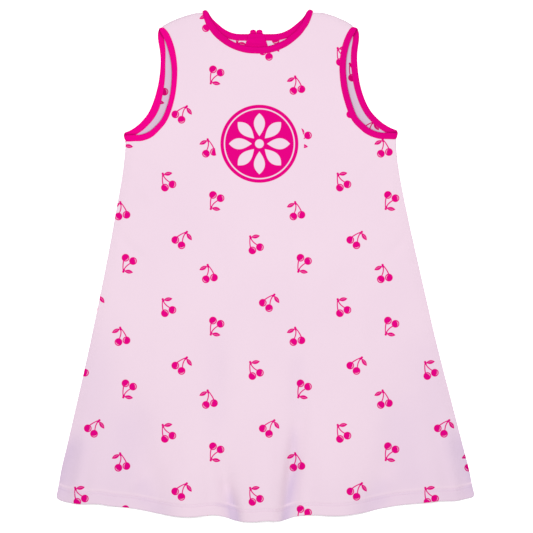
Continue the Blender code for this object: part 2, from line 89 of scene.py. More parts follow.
FRONT_ARMHOLE = (
    # half_width, y
    (160.6, 150.0), (150.0, 150.4), (140.4, 151.0), (130.1, 154.9), (122.2, 160.8),
    (111.9, 172.7), (105.3, 190.7), (101.2, 208.4), (99.5, 226.0), (99.8, 240.0),
    (101.5, 251.5), (104.8, 263.2), (109.0, 272.3), (113.2, 278.8),
)
BACK_ARMHOLE = (
    # half_width, y
    (161.0, 153.2), (153.1, 156.1), (145.0, 161.0), (137.5, 167.3), (128.5, 177.9),
    (121.9, 191.0), (116.5, 208.3), (113.7, 224.0), (112.4, 240.0), (112.9, 253.0),
    (114.9, 265.4), (115.4, 272.0), (114.7, 278.0),
)
FRONT_NECK = (
    # half_width, y
    (0.0, 254.3), (11.8, 255.0), (23.6, 258.1), (35.4, 263.9), (47.2, 273.2),
    (53.2, 280.6), (57.5, 287.2), (60.4, 294.4), (62.0, 299.8),
)
BACK_NECK = (
    # half_width, y
    (0.0, 269.7), (12.0, 269.7), (23.6, 270.0), (32.4, 272.1), (41.3, 276.7),
    (49.0, 282.9), (55.6, 289.2), (59.8, 295.0), (62.0, 299.8),
)
SHOULDER_BOW = 3.9  # in the middle of a shoulder's line
SHOULDER_RISE = 3.0  # at its armhole end
SHOULDER_RISE_POWER = 1.3

# The dress doesn't lie quite evenly: each row moves what is near its point, most at the point.
NUDGES = (
    # x, y, reach_x, reach_y, along_x, along_y
    (0.0, 285.0, 200.0, 170.0, -1.25, -0.6),
    (150.0, 165.0, 95.0, 105.0, 0.0, 2.7),
    (-165.0, 125.0, 80.0, 75.0, 1.1, 0.0),
    (-140.0, 160.0, 60.0, 60.0, 0.0, -0.7),
    (190.0, -55.0, 100.0, 230.0, 1.15, 0.0),
    (95.0, 290.0, 40.0, 60.0, 0.0, 1.2),
    (-66.0, 294.0, 38.0, 40.0, 0.7, -0.8),
    (64.0, 294.0, 30.0, 40.0, 0.8, 0.0),
    (108.0, 286.0, 32.0, 50.0, -0.2, -0.9),
    (-160.0, 150.0, 40.0, 32.0, 0.9, 0.0),
    (160.0, 150.0, 40.0, 32.0, 0.7, 0.0),
    (-150.0, 152.0, 30.0, 30.0, 0.0, 0.5),
    (-245.0, -275.0, 45.0, 42.0, 1.9, -2.0),
    (205.0, 20.0, 100.0, 110.0, 0.7, 0.0),
    (235.0, -190.0, 100.0, 115.0, 1.0, 0.0),
    (240.0, -240.0, 60.0, 32.0, 0.8, 0.0),
    (-99.0, 290.0, 16.0, 34.0, 0.0, -0.6),
    (-79.0, 296.0, 12.0, 34.0, 0.0, 0.7),
    (68.0, 297.0, 14.0, 34.0, 0.0, 0.9),
    (99.0, 290.0, 12.0, 34.0, 0.0, 0.8),
)
# So laid, the outline's middle is here, and the whole dress is moved to have it at 0, 0.
MIDDLE_X = 1.0
MIDDLE_Y = 0.3

# Back neck: slit, patch behind it, and bow.
SLIT_LENGTH = 62.0
SLIT_HALF_WIDTH = 2.6
SLIT_TOP_HALF_WIDTH = 0.7
SLIT_SHUT = 0.02  # share of its length at the foot
SLIT_POWER = 0.7  # under 1, so that it is widest below its middle
CLOSURE_X = -1.3
CLOSURE_REACH = 62.0
CLOSURE_LOW_Y = 130.0
CLOSURE_HIGH_Y = 215.0
SHOULDER_SHIFT_X = 0.7
SHOULDER_SHIFT_LOW_Y = 190.0
SHOULDER_SHIFT_HIGH_Y = 245.0
SHOULDER_SHIFT_RUN = 40.0
PATCH_TOP_Y = 274.2
PATCH_EDGE = (
    # below_top, half_width
    (0.0, 8.6), (14.6, 13.6), (34.0, 18.6), (54.0, 20.5), (68.0, 17.5), (75.0, 10.0), (76.0, 8.0),
)
PATCH_LENGTH = PATCH_EDGE[-1][0]
PATCH_CLEAR = 0.25
PATCH_STEP_RUN = 9.0  # over which it comes up from the back's cloth to the top of the binding
PATCH_RIM_RADIUS = 0.8
PATCH_WAVE = 0.10
PATCH_WAVE_X, PATCH_WAVE_Y = 3.1, 5.3
PATCH_WAVE_PHASE = 0.8
PATCH_WAVE_RUN = 5.0
PATCH_STITCH_IN = 2.4
PATCH_STITCH_WIDTH = 0.6
PATCH_STITCH_SINK = 0.22
BOW_THICK = 2.4
BOW_CENTRE_Y = 262.0
BOW_LIFT = BOW_THICK + SEAM_GAP + 0.1
BOW_LIFT_HALF_WIDTH = 10.0
BOW_LIFT_RUN = 44.0
BOW_LIFT_LOW_Y = 257.0
BOW_LIFT_DROP = 66.0

# How the front stands off the back.
BODY_SWELL = 1.7
BODY_SWELL_TOP_Y = 288.0
BODY_SWELL_RUN = 90.0
HEM_SWELL = 2.6
HEM_SWELL_TOP_Y = -40.0
HEM_Y = -290.0
FOLD_EDGE_RUN = 34.0
FOLDS = (
    # x_at_hem, x_at_top, top_y, half_width_at_hem, half_width_at_top, height
    (-3.0, -3.0, -120.0, 26.0, 20.0, 6.4),
    (28.7, 50.0, -110.0, 9.5, 10.0, -6.6),
    (-38.0, -53.5, -210.0, 9.0, 9.0, -5.6),
    (-45.0, -59.0, -85.0, 13.0, 12.0, -1.6),
    (86.0, 62.0, -110.0, 30.0, 22.0, 6.0),
    (-92.0, -70.0, -130.0, 30.0, 22.0, 6.2),
    (131.0, 170.0, -100.0, 17.0, 14.0, -3.4),
    (-126.0, -170.0, -100.0, 18.0, 14.0, -3.4),
    (204.0, 176.0, -150.0, 24.0, 14.0, 5.6),
    (-204.0, -178.0, -155.0, 24.0, 14.0, 5.6),
)
SIDE_ROLL = 11.0
UNDERARM_ROLL_RUN = 30.0
SHOULDER_ROLL = 7.0
SEAM_CURL = 2.2  # over which the two layers curl together at a sewn edge
LAYER_CLEAR = 0.1  # at least, but where the layers curl together by more than SEAM_CLOSE
SEAM_CLOSE = 0.05
SEAM_PRESS = 0.6  # and there the front may lie this much lower
FLAT_FROM_TOP = 20.0  # creases die away over this towards a shoulder's seam

# A crease runs out softly past its ends, over these shares of its length.
CREASE_PAST = 0.12
CREASE_TAPER = 0.42
# Soft creases of the front, each along a slightly bent line.
FRONT_CREASES = (
    # x_start, y_start, x_end, y_end, bend, half_width, height
    (37.0, 66.0, 40.0, -92.0, -3.0, 9.0, -1.1),
    (37.0, -112.0, 35.0, -172.0, 0.0, 7.0, -1.2),
    (35.0, -186.0, 23.5, -298.0, 0.0, 5.0, -2.2),
    (-50.0, 30.0, -57.0, -72.0, 3.0, 8.0, -0.9),
    (-57.0, -84.0, -56.0, -176.0, 0.0, 10.0, -1.4),
    (-49.0, -252.0, -33.0, -302.0, 1.0, 5.0, -2.0),
    (-14.0, 78.0, -10.0, -78.0, 2.0, 20.0, 0.9),
    (-172.0, 37.0, -139.0, 5.0, -3.0, 6.0, -1.3),
    (172.0, 43.0, 140.0, 8.0, 3.0, 6.0, -1.3),
    (-160.0, 128.0, -114.0, 88.0, 5.0, 8.0, -0.9),
    (156.0, 134.0, 112.0, 94.0, -5.0, 8.0, -0.9),
    (-158.0, 108.0, -128.0, 66.0, 3.0, 6.0, 0.8),
    (158.0, 104.0, 130.0, 58.0, -4.0, 7.0, 0.8),
    (-96.0, 236.0, -58.0, 176.0, 6.0, 10.0, -0.6),
    (88.0, 240.0, 54.0, 186.0, -6.0, 10.0, -0.6),
    (-118.0, -40.0, -134.0, -150.0, 4.0, 11.0, 1.0),
    (112.0, -30.0, 128.0, -140.0, -4.0, 11.0, 0.95),
    (-210.0, -186.0, -229.0, -290.0, 2.0, 7.0, 2.8),
    (212.0, -182.0, 231.0, -290.0, -2.0, 7.0, 2.8),
    (-76.0, -20.0, -86.0, -120.0, -3.0, 10.0, -0.7),
    (84.0, -10.0, 90.0, -104.0, 3.0, 9.0, -0.7),
    (-150.0, -232.0, -160.0, -270.0, 2.0, 6.0, 1.2),
    (158.0, -236.0, 150.0, -268.0, -2.0, 6.0, 1.1),
    (6.0, -196.0, 2.0, -292.0, 1.5, 7.0, 0.7),
    (-18.0, -240.0, -20.0, -296.0, 1.0, 5.0, -0.6),
    (58.0, -230.0, 52.0, -288.0, 1.0, 6.0, -0.7),
    (-70.0, -226.0, -62.0, -288.0, -1.0, 6.0, -0.7),
    (110.0, -238.0, 108.0, -286.0, 1.0, 6.0, 0.8),
)
# And of the back, which lifts off the surface a little along them.
BACK_CREASES = (
    # x_start, y_start, x_end, y_end, bend, half_width, height
    (-60.0, 60.0, -92.0, -210.0, 6.0, 7.0, 0.70),
    (52.0, 30.0, 96.0, -230.0, -6.0, 7.0, 0.70),
    (4.0, 130.0, -8.0, -120.0, 5.0, 9.0, 0.55),
    (-128.0, 96.0, -84.0, 40.0, 4.0, 6.0, 0.60),
    (124.0, 84.0, 90.0, 30.0, -4.0, 6.0, 0.60),
    (-30.0, -180.0, -36.0, -284.0, 2.0, 8.0, 0.80),
    (140.0, -150.0, 160.0, -270.0, -3.0, 8.0, 0.75),
    (-150.0, -160.0, -172.0, -272.0, 3.0, 8.0, 0.75),
)
# How much less light gets into the front's folds and into the dips beside its hem's corners.
FOLD_SHADES = (
    # x_start, y_start, x_end, y_end, bend, half_width, share
    (34.5, -190.0, 36.0, -247.0, 0.0, 5.0, 0.42),
    (38.0, -228.0, 22.5, -330.0, 0.0, 7.0, 0.60),
    (33.5, -244.0, 20.0, -320.0, 0.0, 3.8, 0.48),
    (-42.0, -266.0, -31.0, -328.0, 0.0, 6.0, 0.56),
    (-39.0, -280.0, -32.0, -330.0, 0.0, 7.0, 0.40),
    (-41.5, -262.0, -31.0, -316.0, 0.0, 3.6, 0.42),
    (-60.0, -279.0, -34.0, -287.0, 0.0, 3.0, 0.30),
    (-216.0, -196.0, -248.0, -282.0, 0.0, 13.5, 0.40),
    (-225.0, -202.0, -251.0, -274.0, 0.0, 5.0, 0.28),
    (218.0, -190.0, 252.0, -283.0, 0.0, 13.5, 0.45),
    (229.0, -196.0, 252.0, -276.0, 0.0, 5.0, 0.34),
    (-194.0, -70.0, -228.0, -310.0, 0.0, 30.0, 0.22),
    (192.0, -70.0, 228.0, -310.0, 0.0, 30.0, 0.22),
    (-152.0, -156.0, -178.0, -296.0, 0.0, 26.0, 0.25),
    (152.0, -150.0, 178.0, -286.0, 0.0, 26.0, 0.26),
    (-148.0, -252.0, -134.0, -280.0, 0.0, 12.0, 0.24),
    (141.0, -250.0, 133.0, -282.0, 0.0, 12.0, 0.22),
    (-128.0, -270.0, -122.0, -330.0, 0.0, 18.0, 0.26),
    (126.0, -262.0, 124.0, -320.0, 0.0, 20.0, 0.24),
    (-54.0, -76.0, -56.0, -204.0, 0.0, 15.0, 0.11),
    (39.0, -90.0, 37.0, -190.0, 0.0, 10.0, 0.12),
)

# A seam's small puckers.
PUCKERS = (
    # wavelength, phase, height
    (8.3, 0.4, 0.11), (11.9, 2.1, 0.12), (17.7, 4.0, 0.10),
)
PUCKER_RUN = 11.0
HEM_PUCKERS, SIDE_PUCKERS = 1.3, 0.9
PUCKERS_FROM_SIDE = 6.0
# So far along their waves the seams start, so that no two pucker alike.
ARMHOLES_APART, NECK_APART, SIDES_APART = 500.0, 900.0, 300.0
# The cloth's own slight waves.
UNEVEN = (
    # x_wavelength, y_wavelength, phase, height
    (171.0, 143.0, 0.5, 0.16), (97.0, -88.0, 2.6, 0.12), (-61.0, 118.0, 4.1, 0.10),
    (43.0, 57.0, 1.3, 0.06), (-37.0, 31.0, 5.2, 0.045),
)
# Stitching.
HEM_STITCH_ROWS = (HEM_TURN - 1.7, HEM_TURN - 4.5)  # above the hem
HEM_STITCH_SINK = 0.28
HEM_STITCH_WIDTH = 0.75
THREAD_COLUMNS_IN = 6  # the hem's rows of thread start so many columns in from the side seams
STITCH_PITCH = 2.6
STITCH_LENGTH = 2.1
THREAD_RADIUS = 0.17
THREAD_SHOWS = 0.45  # share of the radius above the cloth
STITCH_SIZES = {"Pitch": STITCH_PITCH, "Stitch length": STITCH_LENGTH, "Thread radius": THREAD_RADIUS}
# How much less light the cloth gets above its turned-up hem, but for the ridge over it.
HEM_SHADE = 0.05
HEM_SHADE_RUN = 50.0
RIDGE_ABOVE = 0.6
RIDGE_WIDTH = 1.5
RIDGE_CLEARS = 0.7
# Then in the stitched groove, on the lower part of the turned-up hem in folds, and in the armholes.
GROOVE_SHADE = 0.08
GROOVE_WIDTH = 1.4
TURNED_SHADE = 0.10
TURNED_BELOW = 4.0
TURNED_RUN = 2.0
ARMHOLE_SHADE = 0.31
ARMHOLE_SHADE_X = 70.0
ARMHOLE_SHADE_RUN = 15.0

# Bindings. A folded strip's section runs from the lip on the cloth over the top to the free edge.
HALF_BAND = BAND_WIDTH / 2
HALF_THICK = BAND_THICK / 2
BAND_SECTION = (
    # across, up
    (HALF_BAND - 0.06, 0.60),
    (HALF_BAND, 0.84),
    (HALF_BAND - 0.30, 1.04),
    (HALF_BAND - 0.85, 1.03),
    (HALF_BAND - 1.30, 0.92),
    (HALF_BAND - 1.75, 1.05),
    (HALF_BAND - 2.60, HALF_THICK),
    (-0.3, HALF_THICK + 0.05),
    (-HALF_BAND + 2.0, HALF_THICK + 0.02),
    (-HALF_BAND + 1.0, HALF_THICK - 0.14),
    (-HALF_BAND + 0.35, HALF_THICK - 0.48),
    (-HALF_BAND + 0.02, 0.32),
)
SLOT_HALF_THICK = 0.58  # of the fold that holds the cloth
STITCH_ACROSS = HALF_BAND - 1.30
STITCH_UP = 0.92
EDGE_STEP = 0.5
EDGE_SHADE_RUN = 1.5  # on the binding under another layer's edge
CLOTH_SHADE_RUN = 1.3  # on the back's cloth under the front's edge
CLOTH_SHADE_SHARE = 0.75
EDGE_CLEAR = 0.8  # an edge shades only what lies this far below it
EDGE_SHADE_LOW = 0.27
EDGE_SHADE_FADE = 12.0  # from the fold, where the layers lie closest
UNDERARM_TRIM = 2.6  # the armhole's binding turns back this much before the side seam
# Share of a binding's width left at its fold and the run to there, then the same beside the fold.
SHOULDER_TIP = (0.26, 5.5, 0.94, 26.0)
UNDERARM_TIPS = {-1: (0.30, 4.4, 1.0, 10.0), 1: (0.50, 3.8, 1.0, 10.0)}
NECK_TIP = (0.20, 3.9, 0.94, 40.0)
NECK_WIDE = 1.06
# Where a binding is stretched or eased, its lip and its free edge lie this far nearer the cloth.
RIGHT_BACK_EDGES = (
    # y, lip, free_edge
    (154.0, 0.0, 0.0), (160.0, 0.5, 0.0), (166.4, 0.85, 0.0), (173.5, 1.3, 0.0), (180.5, 1.6, 0.0),
    (187.6, 1.8, 0.0), (194.7, 1.3, 0.0), (201.8, 0.7, 0.0), (208.9, 0.1, 0.0), (215.9, -0.4, 0.0),
    (223.0, -0.85, 0.0), (230.1, -1.35, 0.0), (237.2, -1.85, 0.0), (244.3, -1.7, 0.0),
    (251.3, -1.1, 0.0), (262.0, 0.0, 0.0),
)
RIGHT_FRONT_EDGES = (
    # y, lip, free_edge
    (154.0, 0.0, 0.0), (159.0, -0.7, 0.0), (166.4, -0.85, 0.15), (173.5, -0.75, 0.3), (180.5, -0.4, 0.8),
    (187.6, 0.0, 1.2), (194.7, 0.0, 1.45), (201.8, 0.0, 1.4), (208.9, -0.1, 1.2), (223.0, -0.1, 1.0),
    (230.1, 0.0, 0.9), (237.2, 0.0, 0.65), (244.3, 0.0, 0.4), (258.0, 0.3, 0.0), (266.0, 0.5, 0.0),
    (272.0, 0.8, 0.0), (277.0, 0.3, 0.0),
)
LEFT_NECK_EDGES = (
    # y, lip, free_edge
    (254.3, 0.0, 0.0), (256.5, 0.0, -0.3), (259.0, -0.2, -0.5), (266.0, -0.5, -0.35), (273.0, -0.65, 0.0),
    (294.0, -0.7, 0.0), (300.0, -0.4, 0.0),
)
# On the wearer's right the back's cloth reaches further out, to stay in its binding.
REACH = 1.4
REACH_Y, REACH_RUN_Y = 239.0, 26.0
REACH_FROM_X, REACH_RUN_X = 92.0, 14.0

# Bow: each strip's width along it, as (share_of_length, width), and how the strips lie.
LOOP_PROFILE = ((0.0, 5.2), (0.3, 6.6), (0.62, 7.35), (0.82, 7.2), (0.93, 5.9), (0.98, 3.6), (1.0, 1.4))
TAIL_PROFILE = ((0.0, 4.6), (0.3, 6.2), (0.95, 7.2), (1.0, 7.1))
KNOT_PROFILE = ((0.0, 3.0), (0.06, 5.4), (0.2, 7.0), (0.5, 7.5), (0.8, 7.0), (0.94, 5.4), (1.0, 3.0))
LOOP_LENGTH = 13.0
LOOP_SPREAD = 7.5
TAIL_LENGTH = 27.0
TAIL_ANGLE = math.radians(24)
KNOT_WIDTH = 11.0
KNOT_MIDDLE_WIDTH = KNOT_PROFILE[3][1]
TUCK = 0.6  # how far loops and tails go into the knot
LOOP_ROOT_X = 3.8
TAIL_ROOT_X = 3.9
STRIP_SIDES = 20
STRIP_STEPS = 22
STRIP_FLATNESS = 0.62
STRIP_END_THICK = 0.45  # share of its thickness at an end
STRIP_END_RUN = 0.09  # share of its length

# How finely the cloth is divided.
FRONT_SKIRT_STEP, FRONT_ARM_ROWS = 3.5, 36
BACK_SKIRT_STEP, BACK_ARM_ROWS = 8.0, 30
EDGE_COLUMNS = (0.982, 0.990, 0.996, 0.999, 1.0)
FRONT_COLUMNS = (*np.linspace(0, 0.972, 66), *EDGE_COLUMNS)
BACK_COLUMNS = (*np.linspace(0, 0.83, 24), *np.linspace(0.84, 0.975, 19), *EDGE_COLUMNS)
PATCH_COLUMNS = (-1.0, -0.985, -0.95, *np.linspace(-0.9, 0.9, 31), 0.95, 0.985, 1.0)
PATCH_ROWS = 60
CLOSE_ROWS = (0.0, 0.12, 0.35, 0.8, *np.arange(1.6, HEM_TURN + 4.0, 0.8))
SEAM_POINTS = 300
SPLIT_OF_ARMHOLE = 0.56
BAND_STEP = 2.2
TURN_STEPS = 12

# A pair of cherries hung from a knob at 0, 0.
FRUITS = (
    # x, y, radius, glint_degrees
    (-1.5, -17.0, 4.6, 230.0),
    (7.9, -14.6, 4.6, 169.0),
)
# A glint is a crescent: a smaller round less another round, which lies aside of it.
GLINT_IN = 1.3
GLINT_CUT_RADIUS = 5.05
GLINT_CUT_ASIDE = 2.4
GLINT_SHARE = 0.80
STEMS = (
    # end_x, end_y, bend, lean
    (-0.55, -12.6, 1.25, 1.0),
    (8.4, -12.6, 0.92, 0.84),
)
STEM_RADIUS = 0.68
# The knob is round at both ends, and its lower end is a little aside and narrower.
KNOB_RADIUS = 1.4
KNOB_NARROWS = 0.2
KNOB_X = -0.2
KNOB_ALONG_X, KNOB_ALONG_Y = 0.8, -2.4
KNOB_REACH_Y = -2.6  # from here down it has its lower end's place and radius
LEAF_X, LEAF_Y = -5.1, -3.9
LEAF_TURN = math.radians(28.4)
LEAF_HALF_LENGTH = 5.3
LEAF_HALF_WIDTH = 2.35
VEIN_ASIDE = 0.4
VEIN_HALF_WIDTH = 0.34
VEIN_HALF_LENGTH = 2.6
VEIN_SHARE = 0.22
INK_EDGE = 0.16  # over which the ink's edge is soft

# The print repeats on a half-drop lattice.
DROP_ACROSS = 103.18
DROP_DOWN = 74.07
REPEAT_DOWN = 148.14
CHERRIES = (
    # knob_x, knob_y, turn_degrees, mirror
    (36.3, 222.9, -2.4, 1.0),
    (-63.5, 215.0, 142.1, 1.0),
    (-91.7, 187.9, -26.2, -1.0),
    (-120.2, 108.2, 37.9, -1.0),
)
BACK_PRINT_SHIFT = (14.4, -18.3)
BACK_REVERSE_SHIFTS = (
    # x_from, along_x, along_y: inside the right armhole, the neck's two sides and the left armhole
    (-1000.0, 37.0, -96.4),
    (-78.0, 30.6, -101.7),
    (-9.0, 7.8, 19.8),
    (76.0, 14.4, -18.3),
)

# The knit: columns of V shaped stitches, and a rib's soft streaks.
KNIT_ROUND_POWER = 0.6
KNIT_SLANT = 1.3
KNIT_WAVE = 0.22
STREAK_ALONG, STREAK_ACROSS = 0.03, 0.75
STREAK_CONTRAST, STREAK_SHIFT = 3.0, -1.0
# How much painted shade darkens the cloth and the rib between the knit's loops.
JERSEY_VALLEY_SHADE, RIB_VALLEY_SHADE = 0.16, 0.35

# The round badge on the chest.
BADGE_X, BADGE_Y = -6.0, 143.6
BADGE_RADIUS = 46.0
BADGE_CLEAR = 52.6
PETALS = 8
PETAL_MIDDLE = 22.5
PETAL_HALF_LENGTH = 13.5
PETAL_HALF_WIDTH = 6.4
PETAL_FLARE = 1.6
HEART_RADIUS = 5.2
RING_RADIUS = 41.2
RING_HALF_WIDTH = 0.75

# Colours of the cloth, the rib and the print, as linear light.
BLUSH = (0.815, 0.648, 0.745, 1.0)
BLUSH_SHADE = (0.800, 0.630, 0.735, 1.0)
REVERSE = (0.745, 0.627, 0.732, 1.0)
JERSEY_SHADE = (0.80, 0.79, 0.905, 1.0)
REVERSE_SHADE_TINT = (0.52, 0.38, 0.53, 1.0)
RIB_SHADE = (0.36, 0.36, 0.30, 1.0)
INK = (0.730, 0.0005, 0.212, 1.0)
# The print seen on the reverse: partly its own colour there, partly darkened as painted shade of the
# armholes, where most of the reverse shows.
REVERSE_INK = (0.650, 0.0005, 0.165, 1.0)
RIB_PINK = (0.790, 0.0004, 0.240, 1.0)
RIB_PINK_SHADE = (0.690, 0.0004, 0.206, 1.0)
BRIGHT_RIB = (0.920, 0.0004, 0.276, 1.0)
BRIGHT_RIB_SHADE = (0.800, 0.0004, 0.240, 1.0)
# Painted shade between the knit's loops, multiplied over the cloth's and the rib's colour.
JERSEY_LOOP_SHADE_COLOUR = (0.78, 0.70, 0.76, 1.0)  # between the knit's loops
RIB_LOOP_SHADE_COLOUR = (0.62, 0.50, 0.58, 1.0)
PALE_THREAD = (0.83, 0.62, 0.75, 1.0)
PALE_THREAD_DARK = (0.70, 0.50, 0.62, 1.0)
PINK_THREAD = (0.72, 0.002, 0.21, 1.0)
PINK_THREAD_DARK = (0.52, 0.001, 0.15, 1.0)
TABLE_TOP = (0.93, 0.93, 0.93, 1.0)
TABLE_TOP_SHADE = (0.925, 0.925, 0.93, 1.0)

# Studio, in metres.
FLOOR_SIZE = 6.0
FLOOR_DROP = 0.0003
LAMP_AT = (0.0, 0.15, 2.1)
LAMP_AIM = (0.0, 0.05, 0.0)
LAMP_SIZE = 0.6
LAMP_WATTS = 36.2
ROOM_LIGHT = 0.33
LENS = 300.0  # in millimetres, like the sensor
SENSOR = 36.0
CAMERA_X, CAMERA_Y = 0.00136, -0.00148
SHARP_HEIGHT = 0.003
FRAME_WIDTH = 0.62894  # what the camera sees at that height
FARTHEST = 20.0
FLOOR_GLOW = 0.45  # the table is lit from below as well


# ---------------------------------------------------------------- lines and tables


def smooth(share):
    share = np.clip(share, 0.0, 1.0)
    return share * share * (3 - 2 * share)


def mix(a, b, share):
    return a + (b - a) * share


def read(table, at):
    """The second column of a table where its first is at, on a smooth line through its rows."""
    x, y = np.array(table, float).T
    steps = np.diff(y) / np.diff(x)
    lean = np.concatenate([steps[:1], (steps[1:] + steps[:-1]) / 2, steps[-1:]])
    at = np.clip(at, x[0], x[-1])
    k = np.clip(np.searchsorted(x, at) - 1, 0, len(x) - 2)
    step = x[k + 1] - x[k]
    t = (at - x[k]) / step
    left = y[k] * (1 + 2 * t) + lean[k] * step * t
    right = y[k + 1] * (3 - 2 * t) - lean[k + 1] * step * (1 - t)
    return left * (1 - t) ** 2 + right * t * t


def curve_through(table, samples=24):
    """A smooth plan curve through a table's points."""
    line = np.array(table, float)
    ends = np.vstack([2 * line[0] - line[1], line, 2 * line[-1] - line[-2]])
    t = (np.arange(samples) / samples)[:, None]
    parts = [
        ((2 * b) + (c - a) * t + (2 * a - 5 * b + 4 * c - d) * t**2 + (3 * b - a - 3 * c + d) * t**3) / 2
        for a, b, c, d in zip(ends, ends[1:], ends[2:], ends[3:])
    ]
    return np.vstack([*parts, line[-1:]])


def lengths_along(line):
    """How far along a line each of its points is."""
    return np.concatenate([[0.0], np.cumsum(np.linalg.norm(np.diff(line, axis=0), axis=1))])


def at_distances(line, distances):
    """A line's points at these distances along it."""
    walked = lengths_along(line)
    return np.column_stack([np.interp(distances, walked, line[:, k]) for k in range(line.shape[1])])


def headings(line):
    """The direction in which a line runs at each of its points."""
    run = np.vstack([line[1:2] - line[:1], line[2:] - line[:-2], line[-1:] - line[-2:-1]])
    return run / np.linalg.norm(run, axis=1)[:, None]


def offset(line, distance):
    """A plan line moved to its left."""
    run = headings(line)
    return line + np.column_stack([-run[:, 1], run[:, 0]]) * distance


def nearest(points, line):
    """For each point, its distance from a line and how far along the line that is."""
    walked = lengths_along(line)
    distance, where = np.empty(len(points)), np.empty(len(points))
    for first in range(0, len(points), CHUNK):
        part = points[first:first + CHUNK]
        gaps = np.linalg.norm(part[:, None] - line[None], axis=2)
        k = gaps.argmin(axis=1)
        distance[first:first + CHUNK] = gaps[np.arange(len(part)), k]
        where[first:first + CHUNK] = walked[k]
    return distance, where


def centre_x(y):
    """The dress's middle line, which leans a little to the wearer's right."""
    return -LEAN * np.maximum(y - LEAN_FROM_Y, 0.0)


def closure_shift(x, y):
    """How far aside the back lies round its closure and at its shoulders."""
    off = abs(x - centre_x(y))
    neck = smooth(1 - off / CLOSURE_REACH) * smooth((y - CLOSURE_LOW_Y) / (CLOSURE_HIGH_Y - CLOSURE_LOW_Y))
    up = smooth((y - SHOULDER_SHIFT_LOW_Y) / (SHOULDER_SHIFT_HIGH_Y - SHOULDER_SHIFT_LOW_Y))
    return CLOSURE_X * neck + SHOULDER_SHIFT_X * smooth((off - CLOSURE_REACH) / SHOULDER_SHIFT_RUN) * up


def nudged(points):
    """Where points of the even plan really lie."""
    points = np.array(points, float)
    x, y = points[:, 0].copy(), points[:, 1].copy()
    for at_x, at_y, reach_x, reach_y, along_x, along_y in NUDGES:
        share = smooth(1 - abs(x - at_x) / reach_x) * smooth(1 - abs(y - at_y) / reach_y)
        points[:, 0] += along_x * share
        points[:, 1] += along_y * share
    points[:, 0] -= MIDDLE_X
    points[:, 1] -= MIDDLE_Y
    return points


# ---------------------------------------------------------------- heights of the layers


def back_under(x, y):
    """The height of the back's underside, which lies on the surface but for the bow under it."""
    off = abs(x - centre_x(y) - CLOSURE_X) - BOW_LIFT_HALF_WIDTH
    across = smooth(1 - off / BOW_LIFT_RUN)
    return BOW_LIFT * across * smooth(1 - (BOW_LIFT_LOW_Y - y) / BOW_LIFT_DROP)


def swell(x, y):
    """How far the front stands off the back: a little everywhere, more in its folds."""
    half = read(SIDE_SEAM, y)
    from_side = half - abs(x - centre_x(y))
    crown = 1 - (1 - np.clip(from_side / half, 0.0, 1.0)) ** 4
    total = BODY_SWELL * crown * smooth((BODY_SWELL_TOP_Y - y) / BODY_SWELL_RUN)
    total = total + HEM_SWELL * crown * smooth((HEM_SWELL_TOP_Y - y) / (HEM_SWELL_TOP_Y - HEM_Y))
    for x_hem, x_top, top_y, wide_hem, wide_top, height in FOLDS:
        share = (top_y - y) / (top_y - HEM_Y)
        middle = mix(x_top, x_hem, share)
        wide = mix(wide_top, wide_hem, np.clip(share, 0.0, 1.0))
        rise = height * smooth(share) * smooth(from_side / FOLD_EDGE_RUN)
        total = total + rise * np.exp(-(((x - middle) / wide) ** 2))
    return np.maximum(total, 0.0)


def front_under(x, y):
    """The height of the front's underside."""
    return back_under(x, y) + WALL + SEAM_GAP + BAND_HOLDS_OPEN + swell(x, y)


def creased(x, y, creases):
    """The height that soft creases add."""
    total = np.zeros_like(x)
    for x0, y0, x1, y1, bend, wide, height in creases:
        run = np.array([x1 - x0, y1 - y0])
        length = np.linalg.norm(run)
        ahead = run / length
        t = ((x - x0) * ahead[0] + (y - y0) * ahead[1]) / length
        aside = -(x - x0) * ahead[1] + (y - y0) * ahead[0] - bend * 4 * t * (1 - t)
        taper = smooth((t + CREASE_PAST) / CREASE_TAPER) * smooth((1 + CREASE_PAST - t) / CREASE_TAPER)
        total += height * taper * np.exp(-((aside / wide) ** 2))
    return total


def unevenness(x, y):
    return sum(
        height * np.sin(2 * math.pi * (x / x_wave + y / y_wave) + phase)
        for x_wave, y_wave, phase, height in UNEVEN
    )


def puckered(along, away):
    """The small waves that a seam's thread draws in the cloth beside it."""
    waves = sum(height * np.sin(2 * math.pi * along / wave + phase) for wave, phase, height in PUCKERS)
    return waves * np.exp(-((away / PUCKER_RUN) ** 2))


# ---------------------------------------------------------------- panels


def skirt_steps(length, step):
    """How far a skirt's close rows lie above its hem, and how many more rows there are."""
    return CLOSE_ROWS, max(2, round((length - CLOSE_ROWS[-1]) / step))


def rails(armhole, neck, slit, step, arm_rows):
    """The outer and inner edge of half a panel, one point a row, and the row of the underarm."""
    clear = HALF_BAND - BAND_LIP + FOLD_PLAY
    arm_edge = offset(curve_through(armhole), clear)
    neck_edge = offset(curve_through(neck), -clear)
    low, top = SIDE_SEAM[0][0], arm_edge[0, 1]
    ys = np.linspace(low, top, SEAM_POINTS)
    seam = np.column_stack([read(SIDE_SEAM, ys), ys])
    seam[-1] = arm_edge[0]
    close, rest = skirt_steps(lengths_along(seam)[-1], step)
    shares = np.linspace(0, 1, rest + 1)[1:]

    def skirt(length):
        return np.concatenate([close, mix(close[-1], length, shares)])

    arm_length = lengths_along(arm_edge)[-1]
    split = arm_length * SPLIT_OF_ARMHOLE
    steps = np.arange(1, arm_rows + 1) / arm_rows
    outer = np.vstack([
        at_distances(seam, skirt(lengths_along(seam)[-1])),
        at_distances(arm_edge, steps * split),
        at_distances(arm_edge, mix(split, arm_length, steps)),
    ])
    hem_y, neck_y = float(read(HEM, 0.0)), neck_edge[0, 1]
    centre = np.concatenate([hem_y + skirt(top - hem_y), mix(top, neck_y, steps)])
    inner = np.column_stack([slit(centre), centre])
    neck_line = np.vstack([inner[-1:], neck_edge[1:]])
    inner = np.vstack([inner, at_distances(neck_line, lengths_along(neck_line)[-1] * steps)])
    return outer, inner, len(close) + rest - 1, arm_edge, neck_edge


